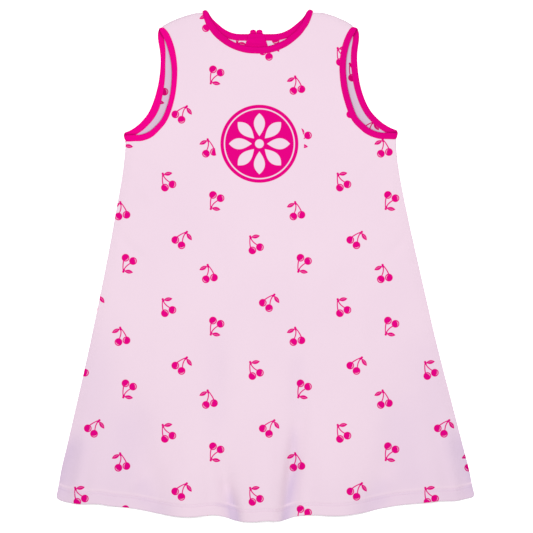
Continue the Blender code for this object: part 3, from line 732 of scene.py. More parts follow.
def grid_faces(i):
    """The four-sided faces between the rows and columns of a grid of points."""
    return np.stack([i[:-1, :-1], i[:-1, 1:], i[1:, 1:], i[1:, :-1]], axis=-1).reshape(-1, 4)


def no_slit(y):
    """Half the width of the slit in a panel that has none."""
    return np.zeros_like(y)


def slit_half_width(y):
    """Half the width of the back's slit."""
    share = (y - (BACK_NECK[0][1] - SLIT_LENGTH)) / SLIT_LENGTH
    inside = np.clip(share, 0.0, 1.0)
    swollen = SLIT_HALF_WIDTH * np.sin(math.pi * inside**SLIT_POWER)
    return np.where(share <= SLIT_SHUT, 0.0, np.maximum(swollen, SLIT_TOP_HALF_WIDTH))


def corner_pull(from_side, above):
    """How far in from the side and up from the hem cloth lies where the hem's corners are rounded."""
    across = 1 - np.clip(from_side / CORNER_RADIUS, 0.0, 1.0)
    down = 1 - np.clip(above / CORNER_RADIUS, 0.0, 1.0)
    to_side = across * np.sqrt(1 - down**2 / 2)
    to_hem = down * np.sqrt(1 - across**2 / 2)
    return CORNER_RADIUS * (across - to_side), CORNER_RADIUS * (down - to_hem)


class Panel:
    """One panel's plan: a point for each row and column of each half, and how near its edges are."""

    def __init__(self, armhole, neck, slit, hem_inset, columns, step, arm_rows):
        outer, inner, self.underarm_row, arm_edge, neck_edge = rails(armhole, neck, slit, step, arm_rows)
        share = np.array(columns)
        self.rows, self.columns = len(outer), len(share)
        s = share[None, :]
        flat = inner[:, None] * (1 - s[..., None]) + outer[:, None] * s[..., None]
        above = mix((inner[:, 1] - inner[0, 1])[:, None], (outer[:, 1] - outer[0, 1])[:, None], s)
        from_top = np.linalg.norm(flat[-1][None] - flat, axis=2)
        from_side = np.linalg.norm(outer[:, None] - flat, axis=2)
        beside_skirt = (np.arange(self.rows) <= self.underarm_row)[:, None]
        from_seam = np.where(beside_skirt, from_side, FAR)
        plan = flat.reshape(-1, 2)
        arm_gap, arm_at = nearest(plan, arm_edge)
        neck_gap, neck_at = nearest(plan, neck_edge)
        shape = flat.shape[:2]
        arm_gap, arm_at = arm_gap.reshape(shape), arm_at.reshape(shape)
        neck_gap, neck_at = neck_gap.reshape(shape), neck_at.reshape(shape)
        hem_line = mix(inner[0, 1], outer[0, 1], s)
        near_top = smooth(1 - from_top / (4 * SHOULDER_ROLL))
        bow = SHOULDER_BOW * np.sin(math.pi * s) * near_top
        run_on = headings(outer)[-1] * (SHOULDER_RISE * s**SHOULDER_RISE_POWER * near_top)[..., None]
        self.index = -np.ones((2, self.rows, self.columns), int)
        found = {k: [] for k in ("x", "y", "hem", "top", "seam", "arm", "arm_at", "neck", "neck_at", "side")}
        count = 0
        for half, side in enumerate((-1, 1)):
            hem_x = mix(inner[0, 0], outer[0, 0], s) * side
            wave = (read(HEM, hem_x) - hem_line) * smooth(1 - above / HEM_WAVE_REACH)
            inset = hem_inset * smooth(1 - above / HEM_TURN)
            in_side, in_hem = corner_pull(from_side, above)
            y = flat[..., 1] + wave + inset + bow + run_on[..., 1] + in_hem
            x = side * (flat[..., 0] + run_on[..., 0] - in_side) + centre_x(y)
            new = np.ones(shape, bool)
            if side > 0:
                shared = inner[:, 0] == 0.0
                new[shared, 0] = False
                self.index[half, shared, 0] = self.index[0, shared, 0]
            self.index[half][new] = count + np.arange(new.sum())
            count += int(new.sum())
            values = (x, y, above, from_top, from_seam, arm_gap, arm_at + ARMHOLES_APART * half, neck_gap,
                      neck_at * side, np.full(shape, side))
            for key, value in zip(found, values):
                found[key].append(np.broadcast_to(value, shape)[new])
        self.at = {k: np.concatenate(v) for k, v in found.items()}
        self.quads = self.faces()

    def faces(self):
        return np.vstack([grid_faces(self.index[0])[:, ::-1], grid_faces(self.index[1])])


def rounded(away, radius):
    """1 inside an edge and falling to almost 0 at it, as a half circle does."""
    return np.maximum(np.sqrt(1 - (1 - np.clip(away / radius, 0.0, 1.0)) ** 2), RIM_LEAST)


def seam_share(at):
    """1 at a sewn edge and 0 away from it, as the curl of two joined layers."""
    away = np.minimum(at["seam"], at["top"])
    return 1 - np.sqrt(1 - (1 - np.clip(away / SEAM_CURL, 0.0, 1.0)) ** 2)


def near_band(at, run=BAND_RUN):
    """1 where a binding's fold holds the cloth and 0 away from it."""
    return smooth(1 - (np.minimum(at["arm"], at["neck"]) - BAND_LIP) / run)


def squeezed(at):
    """How much each face of the cloth is pressed in where a binding's fold holds it."""
    return BAND_SQUEEZE * near_band(at, BAND_SQUEEZE_RUN)


def rim(at):
    """The share of its thickness that the cloth has beside its hem and its side seam."""
    return rounded(np.minimum(at["hem"], at["seam"] + SEWN_RIM), RIM_RADIUS)


def away_from_seams(at, side_run, band_run):
    """0 at a panel's sewn edges and 1 well inside it."""
    from_band = np.minimum(at["arm"], at["neck"])
    return smooth(at["seam"] / side_run) * smooth(at["top"] / FLAT_FROM_TOP) * smooth(from_band / band_run)


def layer_gap(at, x, y):
    """Half the distance between the middles of the front and the back."""
    below_arm = smooth((SIDE_SEAM[-1][0] - at["y"]) / UNDERARM_ROLL_RUN)
    roll = np.maximum(smooth(1 - at["top"] / SHOULDER_ROLL), smooth(1 - at["seam"] / SIDE_ROLL) * below_arm)
    open_share = BAND_HOLDS_OPEN * roll * (1 - near_band(at))
    return (front_under(x, y) - back_under(x, y) - open_share) / 2, open_share


def hem_share(at):
    """1 where the hem is turned up and 0 above it."""
    return smooth(1 - (at["hem"] - HEM_TURN) / HEM_FOLD_RUN)


def stitch_sink(at):
    """How far the hem's two rows of thread pull the cloth in."""
    away = [(at["hem"] - row) / HEM_STITCH_WIDTH for row in HEM_STITCH_ROWS]
    return sum(HEM_STITCH_SINK * np.exp(-(near**2)) for near in away)


def seam_puckers(at):
    near = puckered(at["arm_at"], at["arm"]) + puckered(at["neck_at"] + NECK_APART, at["neck"])
    hem_line = puckered(at["x"], at["hem"] - HEM_TURN) * HEM_PUCKERS
    side = puckered(at["y"] + SIDES_APART * at["side"], at["seam"]) * SIDE_PUCKERS
    return near + hem_line + side


def front_layer(at):
    """Bottom and top heights of the front at a panel's points."""
    x, y = at["x"], at["y"]
    gap, open_share = layer_gap(at, x, y)
    inside = away_from_seams(at, side_run=15.0, band_run=12.0)
    curl = gap * seam_share(at)
    relief = (creased(x, y, FRONT_CREASES) + unevenness(x, y)) * inside
    relief = relief + seam_puckers(at) * smooth(at["seam"] / PUCKERS_FROM_SIDE)
    middle = front_under(x, y) - open_share + WALL / 2 + BAND_CENTRES_CLOTH * near_band(at)
    middle = middle - curl + relief
    hem = hem_share(at)
    top = middle + WALL / 2 - stitch_sink(at) - squeezed(at)
    bottom = middle - WALL / 2 - HEM_EXTRA * hem + squeezed(at)
    floor = back_under(x, y) + WALL + HEM_EXTRA * hem + LAYER_CLEAR - (curl > SEAM_CLOSE) * SEAM_PRESS
    lift = np.maximum(floor - bottom, 0.0)
    top, bottom = top + lift, bottom + lift
    centre, half = (top + bottom) / 2, (top - bottom) / 2 * rim(at)
    return centre - half, centre + half


def back_layer(at):
    """Bottom and top heights of the back at a panel's points."""
    x, y = at["x"], at["y"]
    gap, _ = layer_gap(at, x, y)
    inside = away_from_seams(at, side_run=30.0, band_run=14.0)
    relief = np.maximum(creased(x, y, BACK_CREASES), 0.0) * inside
    middle = back_under(x, y) + WALL / 2 + BAND_CENTRES_CLOTH * near_band(at) + gap * seam_share(at) + relief
    top = middle + WALL / 2 + HEM_EXTRA * hem_share(at) - squeezed(at)
    bottom = middle - WALL / 2 + stitch_sink(at) + squeezed(at)
    centre, half = (top + bottom) / 2, (top - bottom) / 2 * rim(at)
    return np.maximum(centre - half, 0.0), centre + half


def placed(name, data):
    """An object in the scene with this mesh, curve, lamp or camera."""
    made = bpy.data.objects.new(name, data)
    bpy.context.scene.collection.objects.link(made)
    return made


def new_piece(name, vertices, faces, materials, material_of_face=None, maps=None):
    """A mesh piece from arrays in millimetres. maps is one (u, v) in metres for each vertex."""
    mesh = bpy.data.meshes.new(name)
    mesh.from_pydata((nudged(vertices) * MM).tolist(), [], [list(map(int, f)) for f in faces])
    for material in materials:
        mesh.materials.append(material)
    if material_of_face is not None:
        mesh.polygons.foreach_set("material_index", np.asarray(material_of_face, np.int32))
    if maps is not None:
        layer = mesh.uv_layers.new(name="cut")
        corner = np.empty(len(mesh.loops), np.int32)
        mesh.loops.foreach_get("vertex_index", corner)
        layer.data.foreach_set("uv", np.asarray(maps, np.float32)[corner].ravel())
    mesh.polygons.foreach_set("use_smooth", np.ones(len(mesh.polygons), bool))
    mesh.update()
    mesh.validate()
    return placed(name, mesh)


def cloth_piece(
    name, panel, heights, outside, inside, outside_up, shift, print_shift, reverse_shifts, shades
):
    """A closed thin shell on a panel's plan, with the cloth's right side in its own material."""
    at = panel.at
    bottom, top = heights(at)
    x = at["x"] + shift(at["x"], at["y"])
    count = len(x)
    low = np.column_stack([x, at["y"], bottom])
    high = np.column_stack([x, at["y"], top])
    quads = panel.quads
    up, down = quads + count, quads[:, ::-1]
    edges = {}
    for quad in quads.tolist():
        for a, b in zip(quad, quad[1:] + quad[:1]):
            edges[a, b] = True
    rim = np.array([(a, b, b + count, a + count) for a, b in edges if (b, a) not in edges])
    faces = np.vstack([up, down, rim])
    slots = np.concatenate([
        np.full(len(up), 0 if outside_up else 1), np.full(len(down), 1 if outside_up else 0),
        np.zeros(len(rim)),
    ])
    plan = nudged(low)[:, :2] + (MIDDLE_X, MIDDLE_Y)
    reverse = plan - print_shift
    for x_from, along_x, along_y in reverse_shifts:
        reverse = np.where(plan[:, :1] > x_from, plan - (along_x, along_y), reverse)
    maps = [reverse, plan - print_shift] if outside_up else [plan - print_shift, reverse]
    piece = new_piece(name, np.vstack([low, high]), faces, [outside, inside], slots, np.vstack(maps) * MM)
    shade = piece.data.attributes.new("fold_shade", "FLOAT", "POINT")
    shade.data.foreach_set("value", np.tile(shades(x, at), 2).astype(np.float32))
    return piece


def front_shade(x, at):
    """How much less light each point of the front gets: in folds, dips and along the stitched hem."""
    folds = creased(x, at["y"], FOLD_SHADES)
    hem = HEM_SHADE * smooth(1 - (at["hem"] - HEM_TURN) / HEM_SHADE_RUN)
    ridge = np.exp(-(((at["hem"] - HEM_TURN - RIDGE_ABOVE) / RIDGE_WIDTH) ** 2))
    groove = np.exp(-(((at["hem"] - sum(HEM_STITCH_ROWS) / 2) / GROOVE_WIDTH) ** 2))
    turned = TURNED_SHADE * smooth(1 - (at["hem"] - HEM_TURN + TURNED_BELOW) / TURNED_RUN)
    turned = turned * np.minimum(folds * 4.0, 1.0)
    return (folds + hem) * (1 - RIDGE_CLEARS * ridge) + GROOVE_SHADE * groove + turned


def back_shade(x, _):
    """The back's inside lies deeper in the armholes than in the neck."""
    return ARMHOLE_SHADE * smooth((np.abs(x) - ARMHOLE_SHADE_X) / ARMHOLE_SHADE_RUN)


# ---------------------------------------------------------------- bindings


def band_ring():
    """The whole section: over the top, round the free edge, under, and back along the cloth's slot."""
    top = list(BAND_SECTION)
    under = [(a, -b) for a, b in reversed(top)]
    deep = HALF_BAND - BAND_LIP
    slot = [(deep, -SLOT_HALF_THICK), (deep - 0.06, 0.0), (deep, SLOT_HALF_THICK)]
    return np.array([*top, (-HALF_BAND, 0.0), *under, *slot])


def band_run(line, side, height, shifted, cloth_on_left, start=0.0):
    """Centres and directions to the cloth, for a binding along a plan curve."""
    end = lengths_along(line)[-1]
    count = max(2, round((end - start) / BAND_STEP))
    walk = np.linspace(start, end, count + 1)
    points = at_distances(line, walk)
    run = headings(points)
    if points[0, 0] == 0.0:
        run[0] = (1.0, 0.0)
    out = np.column_stack([run[:, 1], -run[:, 0]]) * cloth_on_left
    plain = side * points[:, 0] + centre_x(points[:, 1])
    x = plain + (closure_shift(plain, points[:, 1]) if shifted else 0.0)
    centres = np.column_stack([x, points[:, 1], height(x, points[:, 1]) + HALF_THICK])
    return centres, np.column_stack([-side * out[:, 0], -out[:, 1], np.zeros(len(out))])


def eased(run, edges):
    """A binding's run with its edges moved as a table says, and its share of the whole width."""
    centres, across = run
    y, lip, free = np.array(edges).T
    lip, free = (np.interp(centres[:, 1], y, moved) for moved in (lip, free))
    return centres + across * ((lip + free) / 2)[:, None], across, 1 + (lip - free) / BAND_WIDTH


def back_reach(x, y):
    """How the back's cloth lies aside of its even plan."""
    near = smooth((-x - REACH_FROM_X) / REACH_RUN_X) * smooth(1 - abs(y - REACH_Y) / REACH_RUN_Y)
    return closure_shift(x, y) - REACH * near


def fold_over(start, end, across, end_across, outward):
    """The half turn that takes a binding from one layer to the other."""
    middle, lift = (start + end) / 2, (start - end) / 2
    angles = math.pi * np.arange(1, TURN_STEPS) / TURN_STEPS
    radius = np.linalg.norm(lift)
    centres = middle + np.outer(np.cos(angles), lift) + np.outer(np.sin(angles) * radius, outward)
    share = (angles / math.pi)[:, None]
    return centres, across * (1 - share) + end_across * share


def joined(*runs):
    return np.vstack([r[0] for r in runs]), np.vstack([r[1] for r in runs])


def outward_of(across, towards):
    """The level direction square to one direction, on the side of another."""
    out = np.array([-across[1], across[0], 0.0])
    out /= np.linalg.norm(out)
    return out if out @ towards > 0 else -out


def sweep(name, centres, across, ring, material, closed, widths=None, thicks=None):
    """A closed skin through rings set square to a path. Maps run along and round it."""
    count, sides = len(centres), len(ring)
    if closed:
        run = np.roll(centres, -1, axis=0) - np.roll(centres, 1, axis=0)
    else:
        run = headings(centres)
    across = across / np.linalg.norm(across, axis=1)[:, None]
    up = np.cross(across, run)
    up /= np.linalg.norm(up, axis=1)[:, None]
    wide = np.ones(count) if widths is None else np.asarray(widths)
    thick = np.ones(count) if thicks is None else np.asarray(thicks)
    points = (
        centres[:, None]
        + across[:, None] * (ring[None, :, :1] * wide[:, None, None])
        + up[:, None] * (ring[None, :, 1:] * thick[:, None, None])
    )
    i = np.arange(count * sides).reshape(count, sides)
    after = np.roll(i, -1, axis=0) if closed else i[1:]
    here = i if closed else i[:-1]
    faces = np.stack([here, np.roll(here, -1, axis=1), np.roll(after, -1, axis=1), after], axis=-1)
    faces = [list(f) for f in faces.reshape(-1, 4)]
    if not closed:
        faces += [list(i[0][::-1]), list(i[-1])]
    walked = lengths_along(centres)
    around = lengths_along(np.vstack([ring, ring[:1]]))[:-1]
    maps = np.stack(np.broadcast_arrays(walked[:, None], around[None]), axis=-1).reshape(-1, 2) * MM
    piece = new_piece(name, points.reshape(-1, 3), faces, [material], None, maps)
    outward_faces(piece)
    return piece, up


def free_edge(band, rings, closed):
    """The line of a binding's free edge, closely spaced."""
    points = points_of(band).reshape(rings, -1, 3)[:, len(BAND_SECTION)]
    if closed:
        points = np.vstack([points, points[:1]])
    return at_distances(points, np.arange(0.0, lengths_along(points)[-1], EDGE_STEP))


def shade_under(piece, edge, run, share=1.0):
    """Less light on a piece where a binding's free edge lies close over it."""
    points = points_of(piece)
    near = np.flatnonzero(points[:, 1] > edge[:, 1].min() - 3 * run)
    nearest_gap = np.full(len(points), FAR)
    for first in range(0, len(near), CHUNK):
        some = near[first:first + CHUNK]
        apart = np.linalg.norm(points[some, None, :2] - edge[None, :, :2], axis=2)
        apart[edge[None, :, 2] < points[some, None, 2] + EDGE_CLEAR] = FAR
        nearest_gap[some] = apart.min(axis=1)
    shade = np.exp(-((nearest_gap / run) ** 2)) * share
    layer = piece.data.attributes.get("fold_shade")
    if layer is None:
        layer = piece.data.attributes.new("fold_shade", "FLOAT", "POINT")
    so_far = np.empty(len(points), np.float32)
    layer.data.foreach_get("value", so_far)
    layer.data.foreach_set("value", np.maximum(so_far, shade).astype(np.float32))


def fading(piece, folds):
    """1 beside a binding's folds, falling away from them."""
    middles = nudged([middle for middle, _ in folds])
    away = np.linalg.norm(points_of(piece)[:, None, :2] - middles[None, :, :2], axis=2).min(axis=1)
    return mix(EDGE_SHADE_LOW, 1.0, np.exp(-((away / EDGE_SHADE_FADE) ** 2)))


def points_of(piece):
    """A piece's points in millimetres."""
    points = np.empty(3 * len(piece.data.vertices))
    piece.data.vertices.foreach_get("co", points)
    return points.reshape(-1, 3) / MM


def outward_faces(piece):
    """Turns the faces of a closed piece outwards."""
    mesh = bmesh.new()
    mesh.from_mesh(piece.data)
    bmesh.ops.recalc_face_normals(mesh, faces=mesh.faces)
    mesh.to_mesh(piece.data)
    mesh.free()


def armhole_path(side):
    """An armhole binding's centres, directions to the cloth, folds and widths."""
    front = band_run(curve_through(FRONT_ARMHOLE), side, front_under, False, 1, UNDERARM_TRIM)
    back = [a[::-1] for a in band_run(curve_through(BACK_ARMHOLE), side, back_under, True, 1, UNDERARM_TRIM)]
    up_shoulder = outward_of(front[1][-1], np.array([0.0, 1.0, 0.0]))
    to_side = np.array([float(side), 0.0, 0.0])
    shares = [np.ones(len(front[0])), np.ones(len(back[0]))]
    if side < 0:
        *front, shares[0] = eased(front, RIGHT_FRONT_EDGES)
        *back, shares[1] = eased(back, RIGHT_BACK_EDGES)
    over = fold_over(front[0][-1], back[0][0], front[1][-1], back[1][0], up_shoulder)
    under = fold_over(back[0][-1], front[0][0], back[1][-1], front[1][0], to_side)
    folds = (over[0].mean(axis=0), SHOULDER_TIP), (under[0].mean(axis=0), UNDERARM_TIPS[side])
    centres, across = joined(front, over, back, under)
    turn = np.ones(len(over[0]))
    widths = np.concatenate([shares[0], turn, shares[1], turn]) * tip_widths(centres, folds)
    return centres, across, folds, widths


def tip_widths(centres, folds):
    """How a binding narrows to a round end at each place where it folds over."""
    widths = np.ones(len(centres))
    for middle, (narrowest, run, narrow, slow_run) in folds:
        away = np.linalg.norm(centres - middle, axis=1)
        end = mix(narrowest, 1.0, np.sqrt(1 - (1 - np.clip(away / run, 0, 1)) ** 2))
        widths = np.minimum(widths, end * mix(narrow, 1.0, smooth(away / slow_run)))
    return widths


def neck_path():
    """The neck binding's centres, directions to the cloth, folds and widths."""
    halves, folds, shares = [], [], []
    for side in (-1, 1):
        centres, across = band_run(curve_through(BACK_NECK), side, back_under, True, -1)
        keep = np.abs(centres[:, 0] - centres[0, 0]) > SLIT_TOP_HALF_WIDTH
        keep[0] = True
        centres[0, 0] += side * SLIT_TOP_HALF_WIDTH
        back = centres[keep], across[keep]
        front = [a[::-1] for a in band_run(curve_through(FRONT_NECK), side, front_under, False, -1)]
        out = outward_of(back[1][-1], np.array([0.0, 1.0, 0.0]))
        over = fold_over(back[0][-1], front[0][0], back[1][-1], front[1][0], out)
        share = np.ones(len(front[0]))
        if side > 0:
            *front, share = eased(front, LEFT_NECK_EDGES)
        shares.append(np.concatenate([np.ones(len(back[0]) + len(over[0])), share]))
        halves.append(joined(back, over, front))
        folds.append((over[0].mean(axis=0), NECK_TIP))
    (right, right_across), (left, left_across) = halves
    centres = np.vstack([right, left[::-1][1:]])
    widths = np.concatenate([shares[0], shares[1][::-1][1:]]) * tip_widths(centres, folds) * NECK_WIDE
    return centres, np.vstack([right_across, left_across[::-1][1:]]), folds, widths


# ---------------------------------------------------------------- patch and bow


def patch_layer():
    """The patch's points, row by row: x, y, and the heights of its two faces."""
    down = np.linspace(0, PATCH_LENGTH, PATCH_ROWS + 1)[:, None]
    share = np.array([PATCH_COLUMNS])
    y = np.repeat(PATCH_TOP_Y - down, share.size, axis=1)
    wide = read(PATCH_EDGE, down)
    x = centre_x(y) + CLOSURE_X + wide * share
    ledge = BACK_NECK[0][1] - HALF_BAND - SEAM_GAP
    rest = mix(WALL, BAND_THICK, smooth(1 - (ledge - y) / PATCH_STEP_RUN)) + PATCH_CLEAR
    from_edge = np.minimum(wide * (1 - abs(share)), np.minimum(down, PATCH_LENGTH - down) + SEWN_RIM)
    seam = PATCH_STITCH_SINK * np.exp(-(((from_edge - PATCH_STITCH_IN) / PATCH_STITCH_WIDTH) ** 2))
    soft = PATCH_WAVE * np.sin(x / PATCH_WAVE_X + PATCH_WAVE_PHASE) * np.sin(y / PATCH_WAVE_Y)
    soft = soft * smooth(from_edge / PATCH_WAVE_RUN)
    middle = back_under(x, y) + rest + WALL / 2 + soft
    half = WALL / 2 * rounded(from_edge, PATCH_RIM_RADIUS)
    return x, y, middle - half, middle + half - seam


def neck_patch_piece(material):
    """The patch behind the slit, as a closed thin shell."""
    x, y, low, high = patch_layer()
    count = x.size
    points = np.vstack([np.column_stack([x.ravel(), y.ravel(), z.ravel()]) for z in (low, high)])
    i = np.arange(count).reshape(x.shape)
    down = grid_faces(i)
    edge = np.concatenate([i[0], i[1:, -1], i[-1, -2::-1], i[-2:0:-1, 0]])
    ahead = np.roll(edge, -1)
    rim = np.column_stack([ahead, edge, edge + count, ahead + count])
    faces = np.vstack([down, down[:, ::-1] + count, rim])
    maps = np.tile(np.column_stack([x.ravel(), y.ravel()]) * MM, (2, 1))
    piece = new_piece("neck_patch_cloth", points, faces, [material], None, maps)
    outward_faces(piece)
    return piece


def oval(sides, flatness):
    """A rounded strip's section, half a millimetre in each half width and thickness."""
    angle = 2 * math.pi * np.arange(sides) / sides
    c, s = np.cos(angle), np.sin(angle)
    return np.column_stack([np.sign(c) * abs(c) ** flatness, np.sign(s) * abs(s) ** flatness]) / 2


def strip(name, start, end, profile, thick, material):
    """A soft strip lying on the surface, with its ends drawn in."""
    share = (1 - np.cos(np.linspace(0, math.pi, STRIP_STEPS))) / 2
    start, end = np.array(start), np.array(end)
    centres = start + (end - start) * share[:, None]
    ends = np.minimum(share, 1 - share)
    thicks = thick * mix(STRIP_END_THICK, 1.0, smooth(ends / STRIP_END_RUN))
    centres = np.column_stack([centres, np.full(STRIP_STEPS, thick / 2)])
    ahead = (end - start) / np.linalg.norm(end - start)
    across = np.tile([-ahead[1], ahead[0], 0.0], (STRIP_STEPS, 1))
    ring = oval(STRIP_SIDES, STRIP_FLATNESS)
    return sweep(name, centres, across, ring, material, False, read(profile, share), thicks)[0]


def bow_pieces(material):
    """The bow's knot, loops and tails by node."""
    middle = np.array([float(centre_x(BOW_CENTRE_Y)) + CLOSURE_X, BOW_CENTRE_Y])
    half_knot = KNOT_MIDDLE_WIDTH / 2 + SEAM_GAP
    pieces = {}
    for side, word in ((-1, "right"), (1, "left")):
        root = middle + (side * LOOP_ROOT_X, half_knot - TUCK)
        tip = middle + (side * LOOP_SPREAD / 2, half_knot + LOOP_LENGTH)
        pieces[f"bow_loop_{word}"] = strip(f"loop_{word}", root, tip, LOOP_PROFILE, BOW_THICK, material)
        root = middle + (side * TAIL_ROOT_X, TUCK - half_knot)
        drop = np.array([side * math.sin(TAIL_ANGLE), -math.cos(TAIL_ANGLE)]) * TAIL_LENGTH
        pieces[f"bow_tail_{word}"] = strip(f"tail_{word}", root, root + drop, TAIL_PROFILE, WALL, material)
    half = np.array([KNOT_WIDTH / 2, 0.0])
    pieces["bow_knot"] = strip("knot", middle - half, middle + half, KNOT_PROFILE, BOW_THICK, material)
    return pieces


# ---------------------------------------------------------------- stitching


def stitch_tree(material):
    """Nodes that lay one row of short threads along a path."""
    tree = bpy.data.node_groups.new("row of stitches", "GeometryNodeTree")
    face = tree.interface
    face.new_socket("Path", in_out="INPUT", socket_type="NodeSocketGeometry")
    for name, size in STITCH_SIZES.items():
        face.new_socket(name, in_out="INPUT", socket_type="NodeSocketFloat").default_value = size * MM
    face.new_socket("Stitches", in_out="OUTPUT", socket_type="NodeSocketGeometry")
    new, link = tree.nodes.new, tree.links.new
    given, made = new("NodeGroupInput"), new("NodeGroupOutput")
    spaced = new("GeometryNodeResampleCurve")
    spaced.mode = "LENGTH"
    link(given.outputs["Path"], spaced.inputs["Curve"])
    link(given.outputs["Pitch"], spaced.inputs["Length"])
    thread = new("GeometryNodeMeshUVSphere")
    thread.inputs["Segments"].default_value = 6
    thread.inputs["Rings"].default_value = 5
    thread.inputs["Radius"].default_value = 1.0
    half = new("ShaderNodeMath")
    half.operation = "DIVIDE"
    link(given.outputs["Stitch length"], half.inputs[0])
    half.inputs[1].default_value = 2.0
    size = new("ShaderNodeCombineXYZ")
    link(half.outputs[0], size.inputs["X"])
    link(given.outputs["Thread radius"], size.inputs["Y"])
    link(given.outputs["Thread radius"], size.inputs["Z"])
    shaped = new("GeometryNodeTransform")
    link(thread.outputs["Mesh"], shaped.inputs["Geometry"])
    link(size.outputs[0], shaped.inputs["Scale"])
    turn = new("FunctionNodeAlignRotationToVector")
    turn.axis = "X"
    link(new("GeometryNodeInputTangent").outputs[0], turn.inputs["Vector"])
    lay = new("GeometryNodeInstanceOnPoints")
    link(spaced.outputs["Curve"], lay.inputs["Points"])
    link(shaped.outputs["Geometry"], lay.inputs["Instance"])
    link(turn.outputs["Rotation"], lay.inputs["Rotation"])
    whole, thread_paint = new("GeometryNodeRealizeInstances"), new("GeometryNodeSetMaterial")
    thread_paint.inputs["Material"].default_value = material
    link(lay.outputs["Instances"], whole.inputs["Geometry"])
    link(whole.outputs["Geometry"], thread_paint.inputs["Geometry"])
    link(thread_paint.outputs["Geometry"], made.inputs["Stitches"])
    return tree


def stitches(name, paths, tree):
    """All the rows of one thread, as one plain mesh. A path is (points, whether it closes)."""
    curve = bpy.data.curves.new(name, "CURVE")
    curve.dimensions = "3D"
    for points, closed in paths:
        spline = curve.splines.new("POLY")
        spline.points.add(len(points) - 1)
        spline.points.foreach_set("co", np.column_stack([nudged(points) * MM, np.ones(len(points))]).ravel())
        spline.use_cyclic_u = closed
    rows = placed(name + "_rows", curve)
    sewn = rows.modifiers.new("sewn", "NODES")
    sewn.node_group = tree
    for item in tree.interface.items_tree:
        if item.in_out == "INPUT" and item.name in STITCH_SIZES:
            sewn[item.identifier] = STITCH_SIZES[item.name] * MM
    bpy.context.view_layer.update()
    made = rows.evaluated_get(bpy.context.evaluated_depsgraph_get())
    mesh = bpy.data.meshes.new_from_object(made)
    mesh.name = name
    bpy.data.objects.remove(rows)
    mesh.polygons.foreach_set("use_smooth", np.ones(len(mesh.polygons), bool))
    return placed(name, mesh)


def hem_rows(panel, heights, on_top):
    """The two rows of thread that hold the turned-up hem, on a panel's right side."""
    at = panel.at
    bottom, top = heights(at)
    z = top if on_top else bottom
    rows = []
    left, right = panel.index
    for height in HEM_STITCH_ROWS:
        line = []
        for index in (left[:, ::-1], right[:, 1:]):
            for column in index[:panel.underarm_row].T:
                above = at["hem"][column]
                place = [np.interp(height, above, at[k][column]) for k in ("x", "y")]
                line.append([*place, np.interp(height, above, z[column])])
        line = np.array(line)[THREAD_COLUMNS_IN:-THREAD_COLUMNS_IN]
        line[:, 2] += THREAD_RADIUS * THREAD_SHOWS * (1 if on_top else -1)
        rows.append((line, False))
    return rows


def band_rows(centres, across, up, closed, widths):
    """The threads on both faces of a binding, beside its lips."""
    across = across / np.linalg.norm(across, axis=1)[:, None] * widths[:, None]
    lift = STITCH_UP + THREAD_RADIUS * THREAD_SHOWS
    return [(centres + across * STITCH_ACROSS + up * (face * lift), closed) for face in (-1, 1)]


# ---------------------------------------------------------------- print, cloth, rib and thread


def calc(tree, operation, *values):
    """The result of one sum, whose values are numbers or other results."""
    node = tree.nodes.new("ShaderNodeMath")
    node.operation = operation
    for socket, value in zip(node.inputs, values):
        if isinstance(value, (int, float)):
            socket.default_value = value
        else:
            tree.links.new(value, socket)
    return node.outputs[0]


class Sums:
    """Shader arithmetic on one tree, named as a maker would say it."""

    def __init__(self, tree):
        self.tree = tree

    def __getattr__(self, operation):
        return lambda *values: calc(self.tree, operation.upper(), *values)

    def length(self, x, y):
        return self.sqrt(self.add(self.multiply(x, x), self.multiply(y, y)))

    def within(self, distance):
        """1 where a distance is below 0, softened over the ink's edge."""
        node = self.tree.nodes.new("ShaderNodeMapRange")
        node.inputs["From Min"].default_value = INK_EDGE
        node.inputs["From Max"].default_value = -INK_EDGE
        self.tree.links.new(distance, node.inputs["Value"])
        return node.outputs["Result"]


def group(name, inputs, outputs):
    """A new shader group, with its inner ends."""
    tree = bpy.data.node_groups.new(name, "ShaderNodeTree")
    for word in inputs:
        tree.interface.new_socket(word, in_out="INPUT", socket_type="NodeSocketFloat")
    for word in outputs:
        tree.interface.new_socket(word, in_out="OUTPUT", socket_type="NodeSocketFloat")
    return tree, tree.nodes.new("NodeGroupInput").outputs, tree.nodes.new("NodeGroupOutput").inputs


def use(tree, shared, **values):
    """A shared group in a tree, with its inputs set or linked."""
    node = tree.nodes.new("ShaderNodeGroup")
    node.node_tree = shared
    for word, value in values.items():
        socket = node.inputs[word.replace("_", " ")]
        if isinstance(value, (int, float)):
            socket.default_value = value
        else:
            tree.links.new(value, socket)
    return node.outputs


